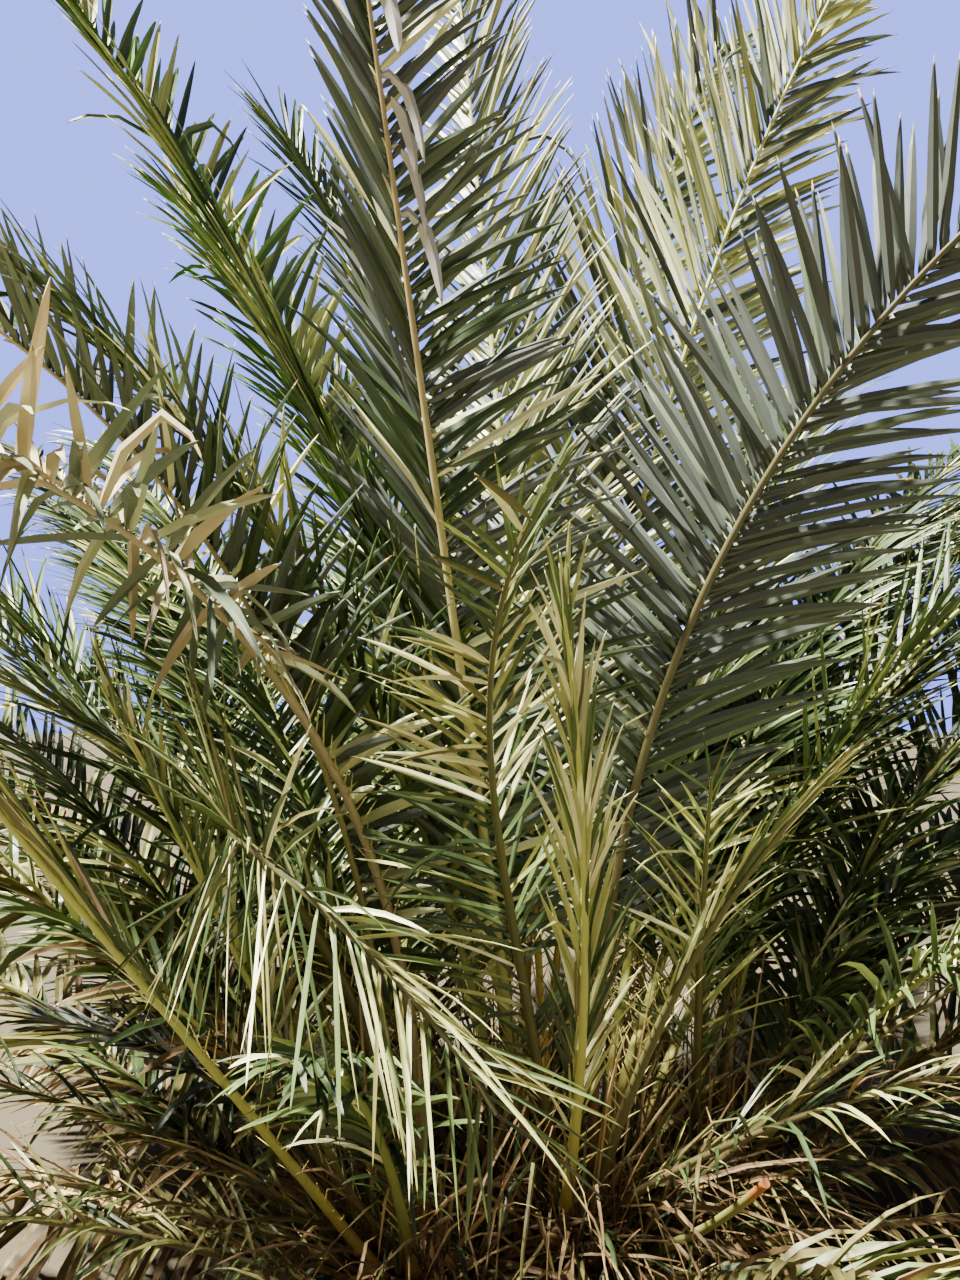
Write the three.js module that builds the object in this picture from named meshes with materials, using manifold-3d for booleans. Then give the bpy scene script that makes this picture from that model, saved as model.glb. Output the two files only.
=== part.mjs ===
// Date palm offshoot: a clump of four short stems from one root, with long arching feather fronds.
// Millimetres, +Z up. The origin is the centre of the flat cut under the main stem, at ground level.
// Headings are degrees about +Z, from +X towards +Y. Rises are degrees above the level.
import * as THREE from "three";
import { mergeVertices } from "three/addons/utils/BufferGeometryUtils.js";
import Module from "manifold-3d";

const wasm = await Module();
wasm.setup();
const rad = THREE.MathUtils.degToRad;

// Clearances
const TOUCH_GAP = 0.3; // between two pieces that meet
const LEAFLET_CLEAR = 2; // least air between a leaflet and another frond
const RIB_CLEAR = 52; // least distance between the middles of two ribs
const GROUND_CLEAR = 15; // least height of a leaflet's tip

// Stems: where each stands, its size, and how far it leans
const STEMS = {
  main: { x: 0, y: 0, radius: 180, height: 270, lean: 4, leanHeading: 200 },
  left: { x: -348, y: -124, radius: 150, height: 230, lean: 9, leanHeading: 195 },
  right: { x: 298, y: 206, radius: 145, height: 210, lean: 9, leanHeading: 20 },
  back: { x: -128, y: 339, radius: 145, height: 220, lean: 7, leanHeading: 100 },
};
const STEM_SIDES = 16;
// Share of the radius at each share of the height, from the root flare up to the bud
const STEM_PROFILE = [
  [1.16, 0],
  [1.07, 0.12],
  [1.0, 0.35],
  [0.93, 0.62],
  [0.72, 0.84],
  [0.4, 0.97],
];

// Where a frond's foot sits on its stem: upright ones near the bud, low ones out on the flank
const SEAT_CORE = 0.25; // share of the radius that an upright frond keeps from the middle
const SEAT_POWER = 0.6;
const SEAT_LOW = 0.3; // share of the height at which a level frond starts
const SEAT_SPAN = 0.65; // share of the height between a level frond and an upright one
const SUNK_FOOT = 60; // length of rib that runs on into the stem before it is cut clear

// The rib of a frond
const RIB_STEPS = 120;
const BEND_POWER = 1.4; // the bend gathers towards the tip
const FOOT_WIDTH = 34;
const BLADE_WIDTH = 24; // rib width where the leaflets start
const TIP_WIDTH = 7;
const DEPTH_SHARE = 0.8; // depth of the rib against its width
const PETIOLE_STEPS = 3;

// Leaflets
const LEAFLET_BASE = 150; // part of the longest leaflet that every frond has
const LEAFLET_SHARE = 0.115; // part of it that grows with the frond's length
const PAIR_PITCH = 134; // along the rib between one pair and the next
const TIP_LEAFLET = 0.5; // length of the last leaflet against the longest
const SPLAY = 1.15; // leaflets stand wider than the middle ones at the blade's start
const SPLAY_FALL = 0.55; // and closer by this much at its tip
const TILTS = [0, 14, -10]; // leaflets stand in turn in three planes
// What a leaflet tries where it would meet another frond: share of its length, change of tilt
const TRIES = [
  [1, 0],
  [1, 16],
  [1, -16],
  [0.75, 0],
  [0.75, 20],
  [0.5, 0],
];

// What a frond has where its row says nothing else
const FROND = {
  arch: 0, // how far it bends down from foot to tip
  sway: 0, // how far it turns aside from foot to tip
  roll: 0, // how far the blade is turned about its rib
  bare: 0.2, // share of the length below the leaflets
  open: 48, // angle between the middle leaflets and the rib
  skew: 0, // share by which the left row stands wider than that, and the right row closer
  span: 1, // length of the leaflets against the rule
  fold: 20, // how far the two rows rise out of the blade's plane
  droop: 0.12, // how strongly the leaflets hang
  colour: 0x5d6f3c,
};
const DRY = { open: 60, fold: -5, droop: 0.7, colour: 0xa08a58 };
const DRY_SHORT = { ...DRY, bare: 0.25 };

// Fronds that stand out, one row each: seat is the heading of the foot round the stem
const OUTSTANDING = {
  main: [
    { heading: 200, seat: 165, rise: 80, arch: 29, sway: -10, length: 3050, roll: -30, skew: -0.4 },
    { heading: 230, seat: 200, rise: 78, arch: 2, sway: 8, length: 3000, roll: 35, skew: 0.45 },
    { heading: 155, seat: 120, rise: 86, arch: 2, length: 3150, roll: 70, span: 1.15, colour: 0x7a8a48 },
    {
      ...{ heading: 330, seat: 330, rise: 89, arch: 69, sway: -10, length: 2950 },
      ...{ roll: -60, open: 56, skew: -0.1, span: 1.15 },
    },
    { heading: 237, seat: 252, rise: 75, arch: 46, sway: 50, length: 1800, roll: 30, open: 55 },
    { heading: 276, seat: 256, rise: 61, arch: -2, sway: -25, length: 1550, open: 12 },
    { heading: 303, seat: 284, rise: 68, arch: 23, sway: 6, length: 1250, bare: 0.5, open: 10 },
    { heading: 345, seat: 345, rise: 45, arch: 38, length: 2900, bare: 0.27, droop: 0.3 },
    { heading: 352, seat: 0, rise: 12, arch: 8, length: 1900, ...DRY },
    { heading: 190, seat: 182, rise: 60, arch: 36, length: 1900 },
  ],
  left: [
    { heading: 195, seat: 150, rise: 88, arch: 73, length: 2900, open: 68, fold: 35 },
    {
      ...{ heading: 215, seat: 300, rise: 90, arch: 104, sway: -5, length: 2700 },
      ...{ bare: 0.5, open: 85, colour: 0x8d8f70 },
    },
    { heading: 205, seat: 205, rise: 66, arch: 3, sway: 2, length: 1400, colour: 0x7c8040 },
    { heading: 225, seat: 238, rise: 53, sway: -10, length: 2500, bare: 0.3, open: 13 },
    { heading: 200, seat: 168, rise: 58, arch: 50, sway: -15, length: 950 },
    { heading: 180, seat: 180, rise: 20, arch: 25, length: 1700, ...DRY },
    { heading: 172, seat: 140, rise: 66, arch: 48, length: 2400 },
    { heading: 262, seat: 268, rise: 60, arch: 42, length: 1150, open: 30, droop: 0.35 },
    {
      ...{ heading: 195, seat: 217, rise: 88, arch: 149, sway: 168, length: 2070 },
      ...{ roll: 90, bare: 0.4, open: 60, droop: 0.2 },
    },
  ],
  back: [
    { heading: 170, seat: 150, rise: 83, arch: 31, length: 3000, roll: -30, skew: 0.3 },
    { heading: 165, seat: 240, rise: 90, arch: 32, sway: 10, length: 3050, roll: -30 },
    { heading: 355, seat: 330, rise: 84, arch: 21, length: 3350, roll: -70, span: 1.3, colour: 0x7a8a48 },
    { heading: 10, seat: 60, rise: 89, arch: 24, sway: -10, length: 3300, roll: -60, span: 1.25 },
    { heading: 185, seat: 195, rise: 53, arch: 16, sway: -2, length: 3000 },
  ],
  right: [
    { heading: 345, seat: 345, rise: 85, arch: 93, length: 2800 },
    { heading: 262, seat: 262, rise: 72, arch: 25, length: 1250, colour: 0x8a8450 },
    { heading: 312, seat: 312, rise: 58, arch: 52, length: 2100, droop: 0.35 },
  ],
};

// Fronds that fill the rest of the crown, ring by ring: each turns on from the one before it
const RINGS = {
  main: [
    { count: 3, heading: 35, turn: 45, rise: 80, arch: 42, length: 2700 },
    { count: 3, heading: 15, turn: 60, rise: 62, arch: 52, length: 2600 },
    { count: 1, heading: 305, turn: 0, rise: 27, arch: 16, length: 1350, droop: 0.4 },
  ],
  left: [
    { count: 2, heading: 100, turn: 45, rise: 72, arch: 58, length: 2600 },
    { count: 4, heading: 105, turn: 30, rise: 46, arch: 48, length: 2300 },
    { count: 2, heading: 145, turn: 75, rise: 18, arch: 20, length: 1500, ...DRY_SHORT },
    { count: 1, heading: 245, turn: 0, rise: 28, arch: 24, length: 1150, droop: 0.4 },
  ],
  back: [
    { count: 4, heading: 20, turn: 36, rise: 70, arch: 52, length: 2700 },
    { count: 3, heading: 55, turn: 40, rise: 46, arch: 46, length: 2500 },
    { count: 2, heading: 70, turn: 50, rise: 18, arch: 18, length: 1500, ...DRY_SHORT },
  ],
  right: [
    { count: 2, heading: 60, turn: 90, rise: 82, arch: 44, length: 2700 },
    { count: 4, heading: 325, turn: 38, rise: 66, arch: 54, length: 2700 },
    { count: 3, heading: 350, turn: 36, rise: 42, arch: 46, length: 2500 },
    { count: 2, heading: 5, turn: 50, rise: 16, arch: 16, length: 1500, ...DRY_SHORT },
  ],
};
const TURN_ASIDE = 5; // a ring's frond is turned by steps of this until its rib is clear
const TURN_TRIES = 24;

// Twin fronds, by the frond that each shares its foot and its body with
const TWIN = { ...FROND, droop: 0.25 };
const TWINS = {
  main_frond_04: { heading: 30, rise: 68, arch: 42, length: 2700 },
  main_frond_07: { heading: 325, rise: 40, arch: 25, length: 1200 },
  main_frond_09: { heading: 0, rise: 32, arch: 20, length: 1200 },
  main_frond_10: { heading: 200, rise: 80, arch: 50, length: 2700 },
  main_frond_11: { heading: 35, rise: 60, arch: 37, length: 2700 },
  left_frond_01: { heading: 145, rise: 68, arch: 42, length: 2700 },
  left_frond_03: { heading: 195, rise: 36, arch: 22, length: 1200 },
  left_frond_04: { heading: 205, rise: 32, arch: 20, length: 1200 },
  left_frond_05: { heading: 160, rise: 56, arch: 35, length: 2100 },
  left_frond_06: { heading: 140, rise: 40, arch: 25, length: 2100 },
  left_frond_07: { heading: 140, rise: 64, arch: 40, length: 2700 },
  left_frond_08: { heading: 190, rise: 54, arch: 33, length: 1800 },
  left_frond_10: { heading: 140, rise: 72, arch: 45, length: 2700 },
  left_frond_11: { heading: 145, rise: 24, arch: 15, length: 2100 },
  left_frond_12: { heading: 140, rise: 64, arch: 40, length: 2700 },
  left_frond_13: { heading: 165, rise: 52, arch: 32, length: 2100 },
  left_frond_14: { heading: 160, rise: 36, arch: 22, length: 1600 },
  left_frond_15: { heading: 215, rise: 36, arch: 22, length: 1200 },
  right_frond_03: { heading: 10, rise: 68, arch: 42, length: 1200 },
  right_frond_07: { heading: 35, rise: 64, arch: 40, length: 2700 },
  right_frond_08: { heading: 30, rise: 52, arch: 32, length: 1600 },
  right_frond_09: { heading: 35, rise: 60, arch: 37, length: 1600 },
  right_frond_11: { heading: 25, rise: 16, arch: 10, length: 1200 },
};

// An old frond cut short by hand: only the stump of its stalk is left
const STUMP = { heading: 290, seat: 335, rise: 33, arch: -15, sway: 12, length: 560, bare: 1 };
const STUMP_COLOUR = 0xb07a3c;
const STEM_COLOUR = 0x7a6244;

// Unit vector along a heading and a rise.
function direction(heading, rise) {
  const level = Math.cos(rad(rise));
  return new THREE.Vector3(
    level * Math.cos(rad(heading)),
    level * Math.sin(rad(heading)),
    Math.sin(rad(rise)),
  );
}

// Middle of a stem at height z.
function stemMiddle(stem, z) {
  const shift = z * Math.tan(rad(stem.lean));
  return new THREE.Vector3(
    stem.x + shift * Math.cos(rad(stem.leanHeading)),
    stem.y + shift * Math.sin(rad(stem.leanHeading)),
    z,
  );
}

// The stem as a turned body that leans, grown on all sides by margin.
function stemGeometry(stem, margin) {
  const profile = STEM_PROFILE.map(
    ([r, z]) => new THREE.Vector2(r * stem.radius + margin, z * stem.height),
  );
  profile[0].y -= margin;
  const turned = new THREE.LatheGeometry(
    [
      new THREE.Vector2(0, profile[0].y),
      ...profile,
      new THREE.Vector2(0, stem.height + margin),
    ],
    STEM_SIDES,
  );
  turned.rotateX(Math.PI / 2);
  const place = turned.getAttribute("position");
  for (let i = 0; i < place.count; i++) {
    const middle = stemMiddle(stem, place.getZ(i));
    place.setXY(i, place.getX(i) + middle.x, place.getY(i) + middle.y);
  }
  turned.deleteAttribute("normal");
  turned.deleteAttribute("uv");
  return mergeVertices(turned, 1e-3);
}

// A closed geometry as a solid that can be joined and cut.
function solidOf(geometry) {
  return new wasm.Manifold(
    new wasm.Mesh({
      numProp: 3,
      vertProperties: new Float32Array(geometry.getAttribute("position").array),
      triVerts: new Uint32Array(geometry.index.array),
    }),
  );
}

// A solid as a geometry.
function geometryOf(solid) {
  const { vertProperties, triVerts } = solid.getMesh();
  return new THREE.BufferGeometry()
    .setAttribute("position", new THREE.BufferAttribute(vertProperties, 3))
    .setIndex(new THREE.BufferAttribute(triVerts, 1));
}

// Where a frond starts on its stem.
function footOf(plan) {
  const stem = STEMS[plan.stem];
  const level = Math.cos(rad(plan.rise)) ** SEAT_POWER;
  const out = stem.radius * (SEAT_CORE + (1 - SEAT_CORE) * level);
  const z = stem.height * (SEAT_LOW + SEAT_SPAN * Math.sin(rad(plan.rise)) ** 2);
  return direction(plan.seat, 0).multiplyScalar(out).add(stemMiddle(stem, z));
}

// Heading and rise of a rib at share s of its length.
function courseAt(plan, s) {
  const bend = Math.max(0, s) ** BEND_POWER;
  return [plan.heading + plan.sway * bend, plan.rise - plan.arch * bend];
}

// Points along the middle of a rib, from its foot to its tip.
function ribPath(plan) {
  const path = [plan.foot ?? footOf(plan)];
  for (let i = 0; i < RIB_STEPS; i++) {
    const step = direction(...courseAt(plan, (i + 0.5) / RIB_STEPS));
    path.push(path[i].clone().addScaledVector(step, plan.length / RIB_STEPS));
  }
  return path;
}

// Place and directions of a rib at share s: along it, to its left, and out of its upper face.
function stationAt(plan, s) {
  const [heading, rise] = courseAt(plan, s);
  const along = direction(heading, rise);
  const side = direction(heading + 90, 0);
  const up = new THREE.Vector3().crossVectors(along, side);
  const turn = rad(plan.roll * THREE.MathUtils.smoothstep(s, 0, plan.bare + 0.1));
  side.applyAxisAngle(along, turn);
  up.applyAxisAngle(along, turn);
  const at = Math.min(Math.max(s, 0), 1) * RIB_STEPS;
  const low = Math.min(Math.floor(at), RIB_STEPS - 1);
  const middle = plan.path[low].clone().lerp(plan.path[low + 1], at - low);
  middle.addScaledVector(along, Math.min(s, 0) * plan.length);
  return { along, side, up, middle };
}

// Rib width at share s: it narrows fast above the foot, then evenly along the blade.
function ribWidth(plan, s) {
  if (s <= plan.bare) {
    return THREE.MathUtils.lerp(FOOT_WIDTH, BLADE_WIDTH, (Math.max(s, 0) / plan.bare) ** 0.6);
  }
  return THREE.MathUtils.lerp(BLADE_WIDTH, TIP_WIDTH, (s - plan.bare) / (1 - plan.bare));
}

// Shares of the length at which a rib has a section: the sunk foot, the stalk, then the pairs.
function ribShares(plan) {
  const shares = [-SUNK_FOOT / plan.length];
  for (let i = 0; i < PETIOLE_STEPS; i++) {
    shares.push((plan.bare * i) / PETIOLE_STEPS);
  }
  const pairs = Math.round(((1 - plan.bare) * plan.length) / PAIR_PITCH);
  for (let i = 0; i <= pairs; i++) {
    shares.push(plan.bare + ((1 - plan.bare) * i) / Math.max(pairs, 1));
  }
  return pairs > 0 ? shares : [...shares.slice(0, -1), 1];
}

// The four corners of a rib's section: lower right, lower left, upper left, upper right.
function sectionAt(plan, s) {
  const { side, up, middle } = stationAt(plan, s);
  const half = ribWidth(plan, s) / 2;
  return [
    [-1, -1],
    [1, -1],
    [1, 1],
    [-1, 1],
  ].map(([a, b]) =>
    middle.clone().addScaledVector(side, a * half).addScaledVector(up, b * half * DEPTH_SHARE),
  );
}

// Length of a leaflet at share b of the blade, against the longest one.
function leafletShare(b) {
  return Math.min(1, 0.5 + 2.2 * b) * (1 - (1 - TIP_LEAFLET) * b * b);
}

// Tip of a leaflet: row is 1 on the left and -1 on the right, tilt changes its plane.
function leafletTip(plan, s, row, share, tilt) {
  const b = (s - plan.bare) / (1 - plan.bare);
  const { along, side, up, middle } = stationAt(plan, s);
  const off = rad(plan.open * (1 + row * plan.skew) * (SPLAY - SPLAY_FALL * b));
  const rise = rad(plan.fold + tilt);
  const way = along
    .multiplyScalar(Math.cos(off))
    .addScaledVector(side, row * Math.sin(off) * Math.cos(rise))
    .addScaledVector(up, Math.sin(off) * Math.sin(rise));
  way.z -= plan.droop;
  const longest = (LEAFLET_BASE + LEAFLET_SHARE * plan.length) * plan.span;
  const reach = longest * leafletShare(b) * share;
  return middle.addScaledVector(way.normalize(), reach);
}

// A convex piece for tests of touching: its corners, face normals, edges and box.
function convexPiece(points, faces, frond) {
  const edges = [];
  const normals = [];
  for (const face of faces) {
    face.forEach((a, i) => {
      const b = face[(i + 1) % face.length];
      if (a < b) edges.push(points[b].clone().sub(points[a]));
    });
    const [a, b, c] = face.map((i) => points[i]);
    normals.push(b.clone().sub(a).cross(c.clone().sub(a)).normalize());
  }
  return { points, edges, normals, frond, box: new THREE.Box3().setFromPoints(points) };
}
const PYRAMID = [
  [0, 1, 2, 3],
  [0, 1, 4],
  [1, 2, 4],
  [2, 3, 4],
  [3, 0, 4],
];
const BAR = [
  [0, 1, 2, 3],
  [4, 5, 6, 7],
  [0, 1, 5, 4],
  [1, 2, 6, 5],
  [2, 3, 7, 6],
  [3, 0, 4, 7],
];

// Air between two convex pieces as seen along one axis.
function gapAlong(axis, a, b) {
  let [lowA, highA, lowB, highB] = [Infinity, -Infinity, Infinity, -Infinity];
  for (const p of a.points) {
    const d = p.dot(axis);
    lowA = Math.min(lowA, d);
    highA = Math.max(highA, d);
  }
  for (const p of b.points) {
    const d = p.dot(axis);
    lowB = Math.min(lowB, d);
    highB = Math.max(highB, d);
  }
  return Math.max(lowB - highA, lowA - highB);
}

// Whether two convex pieces are clear of each other: some axis shows air between them.
function apart(a, b) {
  if (!a.box.clone().expandByScalar(LEAFLET_CLEAR).intersectsBox(b.box)) return true;
  for (const axis of [...a.normals, ...b.normals]) {
    if (gapAlong(axis, a, b) >= LEAFLET_CLEAR) return true;
  }
  const axis = new THREE.Vector3();
  for (const edge of a.edges) {
    for (const other of b.edges) {
      axis.crossVectors(edge, other);
      if (axis.lengthSq() < 1e-6) continue;
      if (gapAlong(axis.normalize(), a, b) >= LEAFLET_CLEAR) return true;
    }
  }
  return false;
}

// Whether a rib keeps clear of all ribs placed before it.
function ribClear(path, others) {
  return others.every((other) =>
    path.every((p) => other.every((q) => p.distanceToSquared(q) >= RIB_CLEAR ** 2)),
  );
}

// The plans of all fronds: the outstanding ones, the rings turned clear of them, then the twins.
function frondPlans() {
  const plans = [];
  const count = Object.fromEntries(Object.keys(STEMS).map((stem) => [stem, 0]));
  const keep = (plan) => {
    plan.name = `${plan.stem}_frond_${String(++count[plan.stem]).padStart(2, "0")}`;
    plans.push(plan);
  };
  for (const [stem, rows] of Object.entries(OUTSTANDING)) {
    for (const row of rows) {
      const plan = { ...FROND, ...row, stem };
      plan.path = ribPath(plan);
      keep(plan);
    }
  }
  const stump = { ...FROND, ...STUMP, stem: "main", name: "cut_stump", colour: STUMP_COLOUR };
  stump.path = ribPath(stump);
  plans.push(stump);
  for (const [stem, rings] of Object.entries(RINGS)) {
    for (const ring of rings) {
      for (let i = 0; i < ring.count; i++) {
        for (let k = 0; k < TURN_TRIES; k++) {
          const aside = TURN_ASIDE * Math.ceil(k / 2) * (k % 2 ? 1 : -1);
          const heading = ring.heading + ring.turn * i + aside;
          const plan = { ...FROND, ...ring, stem, heading, seat: heading };
          plan.path = ribPath(plan);
          if (ribClear(plan.path, plans.map((p) => p.path))) {
            keep(plan);
            break;
          }
        }
      }
    }
  }
  for (const [name, row] of Object.entries(TWINS)) {
    const { stem, colour, path } = plans.find((plan) => plan.name === name);
    const twin = { ...TWIN, ...row, name, stem, colour, foot: path[0] };
    twin.path = ribPath(twin);
    plans.push(twin);
  }
  return plans;
}

// The rib of a frond, as its sections and, above the sunk foot, as convex pieces.
function addRib(plan, index, pieces) {
  plan.shares = ribShares(plan);
  plan.sections = plan.shares.map((s) => sectionAt(plan, s));
  for (let i = 1; i + 1 < plan.sections.length; i++) {
    const points = [...plan.sections[i], ...plan.sections[i + 1]];
    pieces.push(convexPiece(points, BAR, index));
  }
}

// The leaflets of a frond that find a clear place, as tips by row and pair.
function addLeaflets(plan, index, pieces) {
  plan.tips = new Map();
  const first = plan.shares.indexOf(plan.bare);
  if (first < 0) return;
  for (let i = first; i + 1 < plan.shares.length; i++) {
    const s = (plan.shares[i] + plan.shares[i + 1]) / 2;
    for (const row of [1, -1]) {
      const [a, b] = row > 0 ? [1, 2] : [3, 0];
      const [near, far] = [plan.sections[i], plan.sections[i + 1]];
      const base = [near[a], near[b], far[b], far[a]];
      for (const [share, tilt] of TRIES) {
        const tip = leafletTip(plan, s, row, share, tilt + TILTS[i % TILTS.length]);
        if (tip.z < GROUND_CLEAR) continue;
        const piece = convexPiece([...base, tip], PYRAMID, index);
        if (pieces.every((other) => other.frond === index || apart(piece, other))) {
          plan.tips.set(`${i} ${row}`, tip);
          pieces.push(piece);
          break;
        }
      }
    }
  }
}

// The closed surface of a frond: rib faces, with a pointed leaflet on each that has a tip.
function frondGeometry(plan) {
  const points = plan.sections.flat();
  const faces = [];
  const point = (p) => points.push(p) - 1;
  const spike = (a, b, c, d, tip) => {
    const t = point(tip);
    faces.push(a, b, t, b, c, t, c, d, t, d, a, t);
  };
  for (let i = 0; i + 1 < plan.sections.length; i++) {
    for (let k = 0; k < 4; k++) {
      const [a, b] = [4 * i + k, 4 * i + ((k + 1) % 4)];
      const row = { 1: 1, 3: -1 }[k];
      const tip = plan.tips.get(`${i} ${row}`);
      if (tip) {
        spike(a, b, b + 4, a + 4, tip);
      } else {
        faces.push(a, b, b + 4, a, b + 4, a + 4);
      }
    }
  }
  faces.push(0, 3, 2, 0, 2, 1);
  const last = points.length - plan.tips.size - 4;
  if (plan.tips.size > 0) {
    spike(last, last + 1, last + 2, last + 3, leafletTip(plan, 1, 0, 0.7, 0));
  } else {
    faces.push(last, last + 1, last + 2, last, last + 2, last + 3);
  }
  return new THREE.BufferGeometry().setFromPoints(points).setIndex(faces);
}

// One named mesh with a dull finish of its own.
function meshOf(name, geometry, colour, roughness) {
  const finish = new THREE.MeshStandardMaterial({ color: colour, roughness, metalness: 0 });
  const mesh = new THREE.Mesh(geometry, finish);
  mesh.name = name;
  return mesh;
}

// The stems: those beside the main stem are cut clear of its root flare.
function stemMeshes() {
  const mainFlare = solidOf(stemGeometry(STEMS.main, TOUCH_GAP));
  return Object.entries(STEMS).map(([name, stem]) => {
    const whole = stemGeometry(stem, 0);
    const shape = name === "main" ? whole : geometryOf(solidOf(whole).subtract(mainFlare));
    return meshOf(`${name}_stem`, shape, STEM_COLOUR, 0.95);
  });
}

// The fronds, twins joined into one body, each body cut clear of the stems at its foot.
function frondMeshes() {
  const plans = frondPlans();
  const pieces = [];
  plans.forEach((plan, index) => addRib(plan, index, pieces));
  plans.forEach((plan, index) => addLeaflets(plan, index, pieces));
  const stems = Object.values(STEMS).map((stem) => solidOf(stemGeometry(stem, TOUCH_GAP)));
  const bodies = new Map();
  for (const plan of plans) {
    const body = solidOf(frondGeometry(plan));
    bodies.set(plan.name, bodies.get(plan.name)?.add(body) ?? body);
  }
  return [...bodies].map(([name, whole]) => {
    const clear = stems.reduce((solid, stem) => solid.subtract(stem), whole);
    const { colour } = plans.find((plan) => plan.name === name);
    return meshOf(name, geometryOf(clear), colour, 0.6);
  });
}

const group = new THREE.Group();
group.add(...stemMeshes(), ...frondMeshes());

export default group;
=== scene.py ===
"""Date palm offshoot clump: the looks of four short stems and their long feather fronds.

Metres, +Z up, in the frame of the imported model. Headings are degrees about +Z, from +X towards +Y.
Rises are degrees above the level. Shares run from 0 at a frond's foot to 1 at its tip.
"""

import logging
import math
from collections.abc import Iterator
from dataclasses import dataclass, field, replace
from enum import Enum
from typing import Any

import bpy
import numpy as np
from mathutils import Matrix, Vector

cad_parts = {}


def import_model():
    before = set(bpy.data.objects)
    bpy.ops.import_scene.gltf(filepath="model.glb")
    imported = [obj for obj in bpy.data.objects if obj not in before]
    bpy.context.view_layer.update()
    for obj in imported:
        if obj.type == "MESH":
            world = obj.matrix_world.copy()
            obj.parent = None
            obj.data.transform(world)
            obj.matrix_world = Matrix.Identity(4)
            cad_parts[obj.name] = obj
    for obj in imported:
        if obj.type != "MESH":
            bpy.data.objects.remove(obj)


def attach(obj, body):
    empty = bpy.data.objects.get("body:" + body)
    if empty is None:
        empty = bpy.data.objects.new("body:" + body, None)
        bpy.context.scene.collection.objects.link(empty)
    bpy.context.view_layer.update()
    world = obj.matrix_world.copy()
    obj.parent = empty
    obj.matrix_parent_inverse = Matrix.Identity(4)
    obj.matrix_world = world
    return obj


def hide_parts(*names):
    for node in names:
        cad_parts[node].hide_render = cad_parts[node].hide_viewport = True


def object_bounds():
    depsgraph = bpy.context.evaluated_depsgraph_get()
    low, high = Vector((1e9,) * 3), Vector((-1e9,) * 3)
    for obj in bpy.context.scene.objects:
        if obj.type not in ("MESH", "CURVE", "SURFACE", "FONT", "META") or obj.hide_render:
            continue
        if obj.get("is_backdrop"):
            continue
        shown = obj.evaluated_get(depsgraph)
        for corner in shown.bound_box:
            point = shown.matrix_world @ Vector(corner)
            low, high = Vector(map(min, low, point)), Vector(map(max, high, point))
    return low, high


log = logging.getLogger("date_palm")

BODY = "root"
MILLIMETRE = 0.001

# The rule of the frond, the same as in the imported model
RIB_CLEAR = 0.052
RIB_STEPS = 120
BEND_POWER = 1.4
SEAT_CORE = 0.25
SEAT_POWER = 0.6
SEAT_LOW = 0.3
SEAT_SPAN = 0.65
ROLL_PAST = 0.1  # the roll is full this far past the first leaflets
STALK_TAPER = 0.6
SUNK_FOOT = 0.06
FOOT_WIDTH = 0.034
BLADE_WIDTH = 0.024
TIP_WIDTH = 0.007
DEPTH_SHARE = 0.8
LEAFLET_BASE = 0.150
LEAFLET_SHARE = 0.115
FIRST_LEAFLET = 0.5
LEAFLET_RISE = 2.2
TIP_LEAFLET = 0.5
SPLAY = 1.15
SPLAY_FALL = 0.55
TILTS = (0.0, 14.0, -10.0)
TURN_ASIDE = 5
TURN_TRIES = 24

# What the finer leaflets add to the rule
LEAFLET_PITCH = 0.0185  # along the rib between one leaflet and the next in its row
LEAFLET_WIDTH = 0.018
LEAFLET_HALF_THICKNESS = 0.0006
RIB_AIR = 0.014  # a leaflet that comes nearer than this to another rib is cut short
FLOOR_AIR = 0.004

# Kinds of node that come up again and again
NOISE = "ShaderNodeTexNoise"
RANGE = "ShaderNodeMapRange"
RAMP = "ShaderNodeValToRGB"
BUMP = "ShaderNodeBump"
MATH = "ShaderNodeMath"
BACKGROUND = "ShaderNodeBackground"
ATTRIBUTE = "GeometryNodeInputNamedAttribute"
INSTANCES = "GeometryNodeInstanceOnPoints"
RANDOM = "FunctionNodeRandomValue"


class Look(Enum):
    """The kinds of frond: what its pieces are called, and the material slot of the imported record."""

    # Sunlit, pale, dark and grey fronds differ partly by painted light: their leaflet sets are lit and
    # shaded copies of the same colours
    GREEN = ("green", "leaf_green")
    SUNLIT = ("sunlit", "leaf_sunlit")
    PALE = ("pale", "leaf_sunlit")
    DARK = ("dark_green", "leaf_green")
    RICH = ("rich_green", "leaf_green")
    GREY = ("grey_green", "leaf_grey_green")
    BEIGE = ("beige", "leaf_grey_green")
    OLIVE = ("olive", "leaf_green")
    BROWNED = ("browned", "leaf_green")
    DRY = ("dry", "leaf_dry")

    @property
    def label(self) -> str:
        """The word in the pieces' names."""
        return self.value[0]

    @property
    def slot(self) -> str:
        """The material slot."""
        return self.value[1]


def linear(code: str) -> tuple[float, float, float, float]:
    """Turns an sRGB hex code into a linear colour.

    Args:
        code: Six hex digits after a hash.

    Returns:
        Red, green, blue and an alpha of 1.
    """
    parts = [int(code[i : i + 2], 16) / 255 for i in (1, 3, 5)]
    red, green, blue = (p / 12.92 if p <= 0.04045 else ((p + 0.055) / 1.055) ** 2.4 for p in parts)
    return red, green, blue, 1.0


def add_node(tree: Any, kind: str, settings: dict | None = None, inputs: dict | None = None) -> Any:
    """Adds one node to a tree, with its options and its inputs.

    Args:
        tree: The node tree.
        kind: The node's type name.
        settings: Options of the node by name.
        inputs: By name or number, a value, an output socket, or a node, whose first output is meant.

    Returns:
        The new node.
    """
    made = tree.nodes.new(kind)
    for name, value in (settings or {}).items():
        setattr(made, name, value)
    for key, value in (inputs or {}).items():
        if isinstance(value, bpy.types.Node):
            value = value.outputs[0]
        if isinstance(value, bpy.types.NodeSocket):
            tree.links.new(value, made.inputs[key])
        else:
            made.inputs[key].default_value = value
    return made


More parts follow.
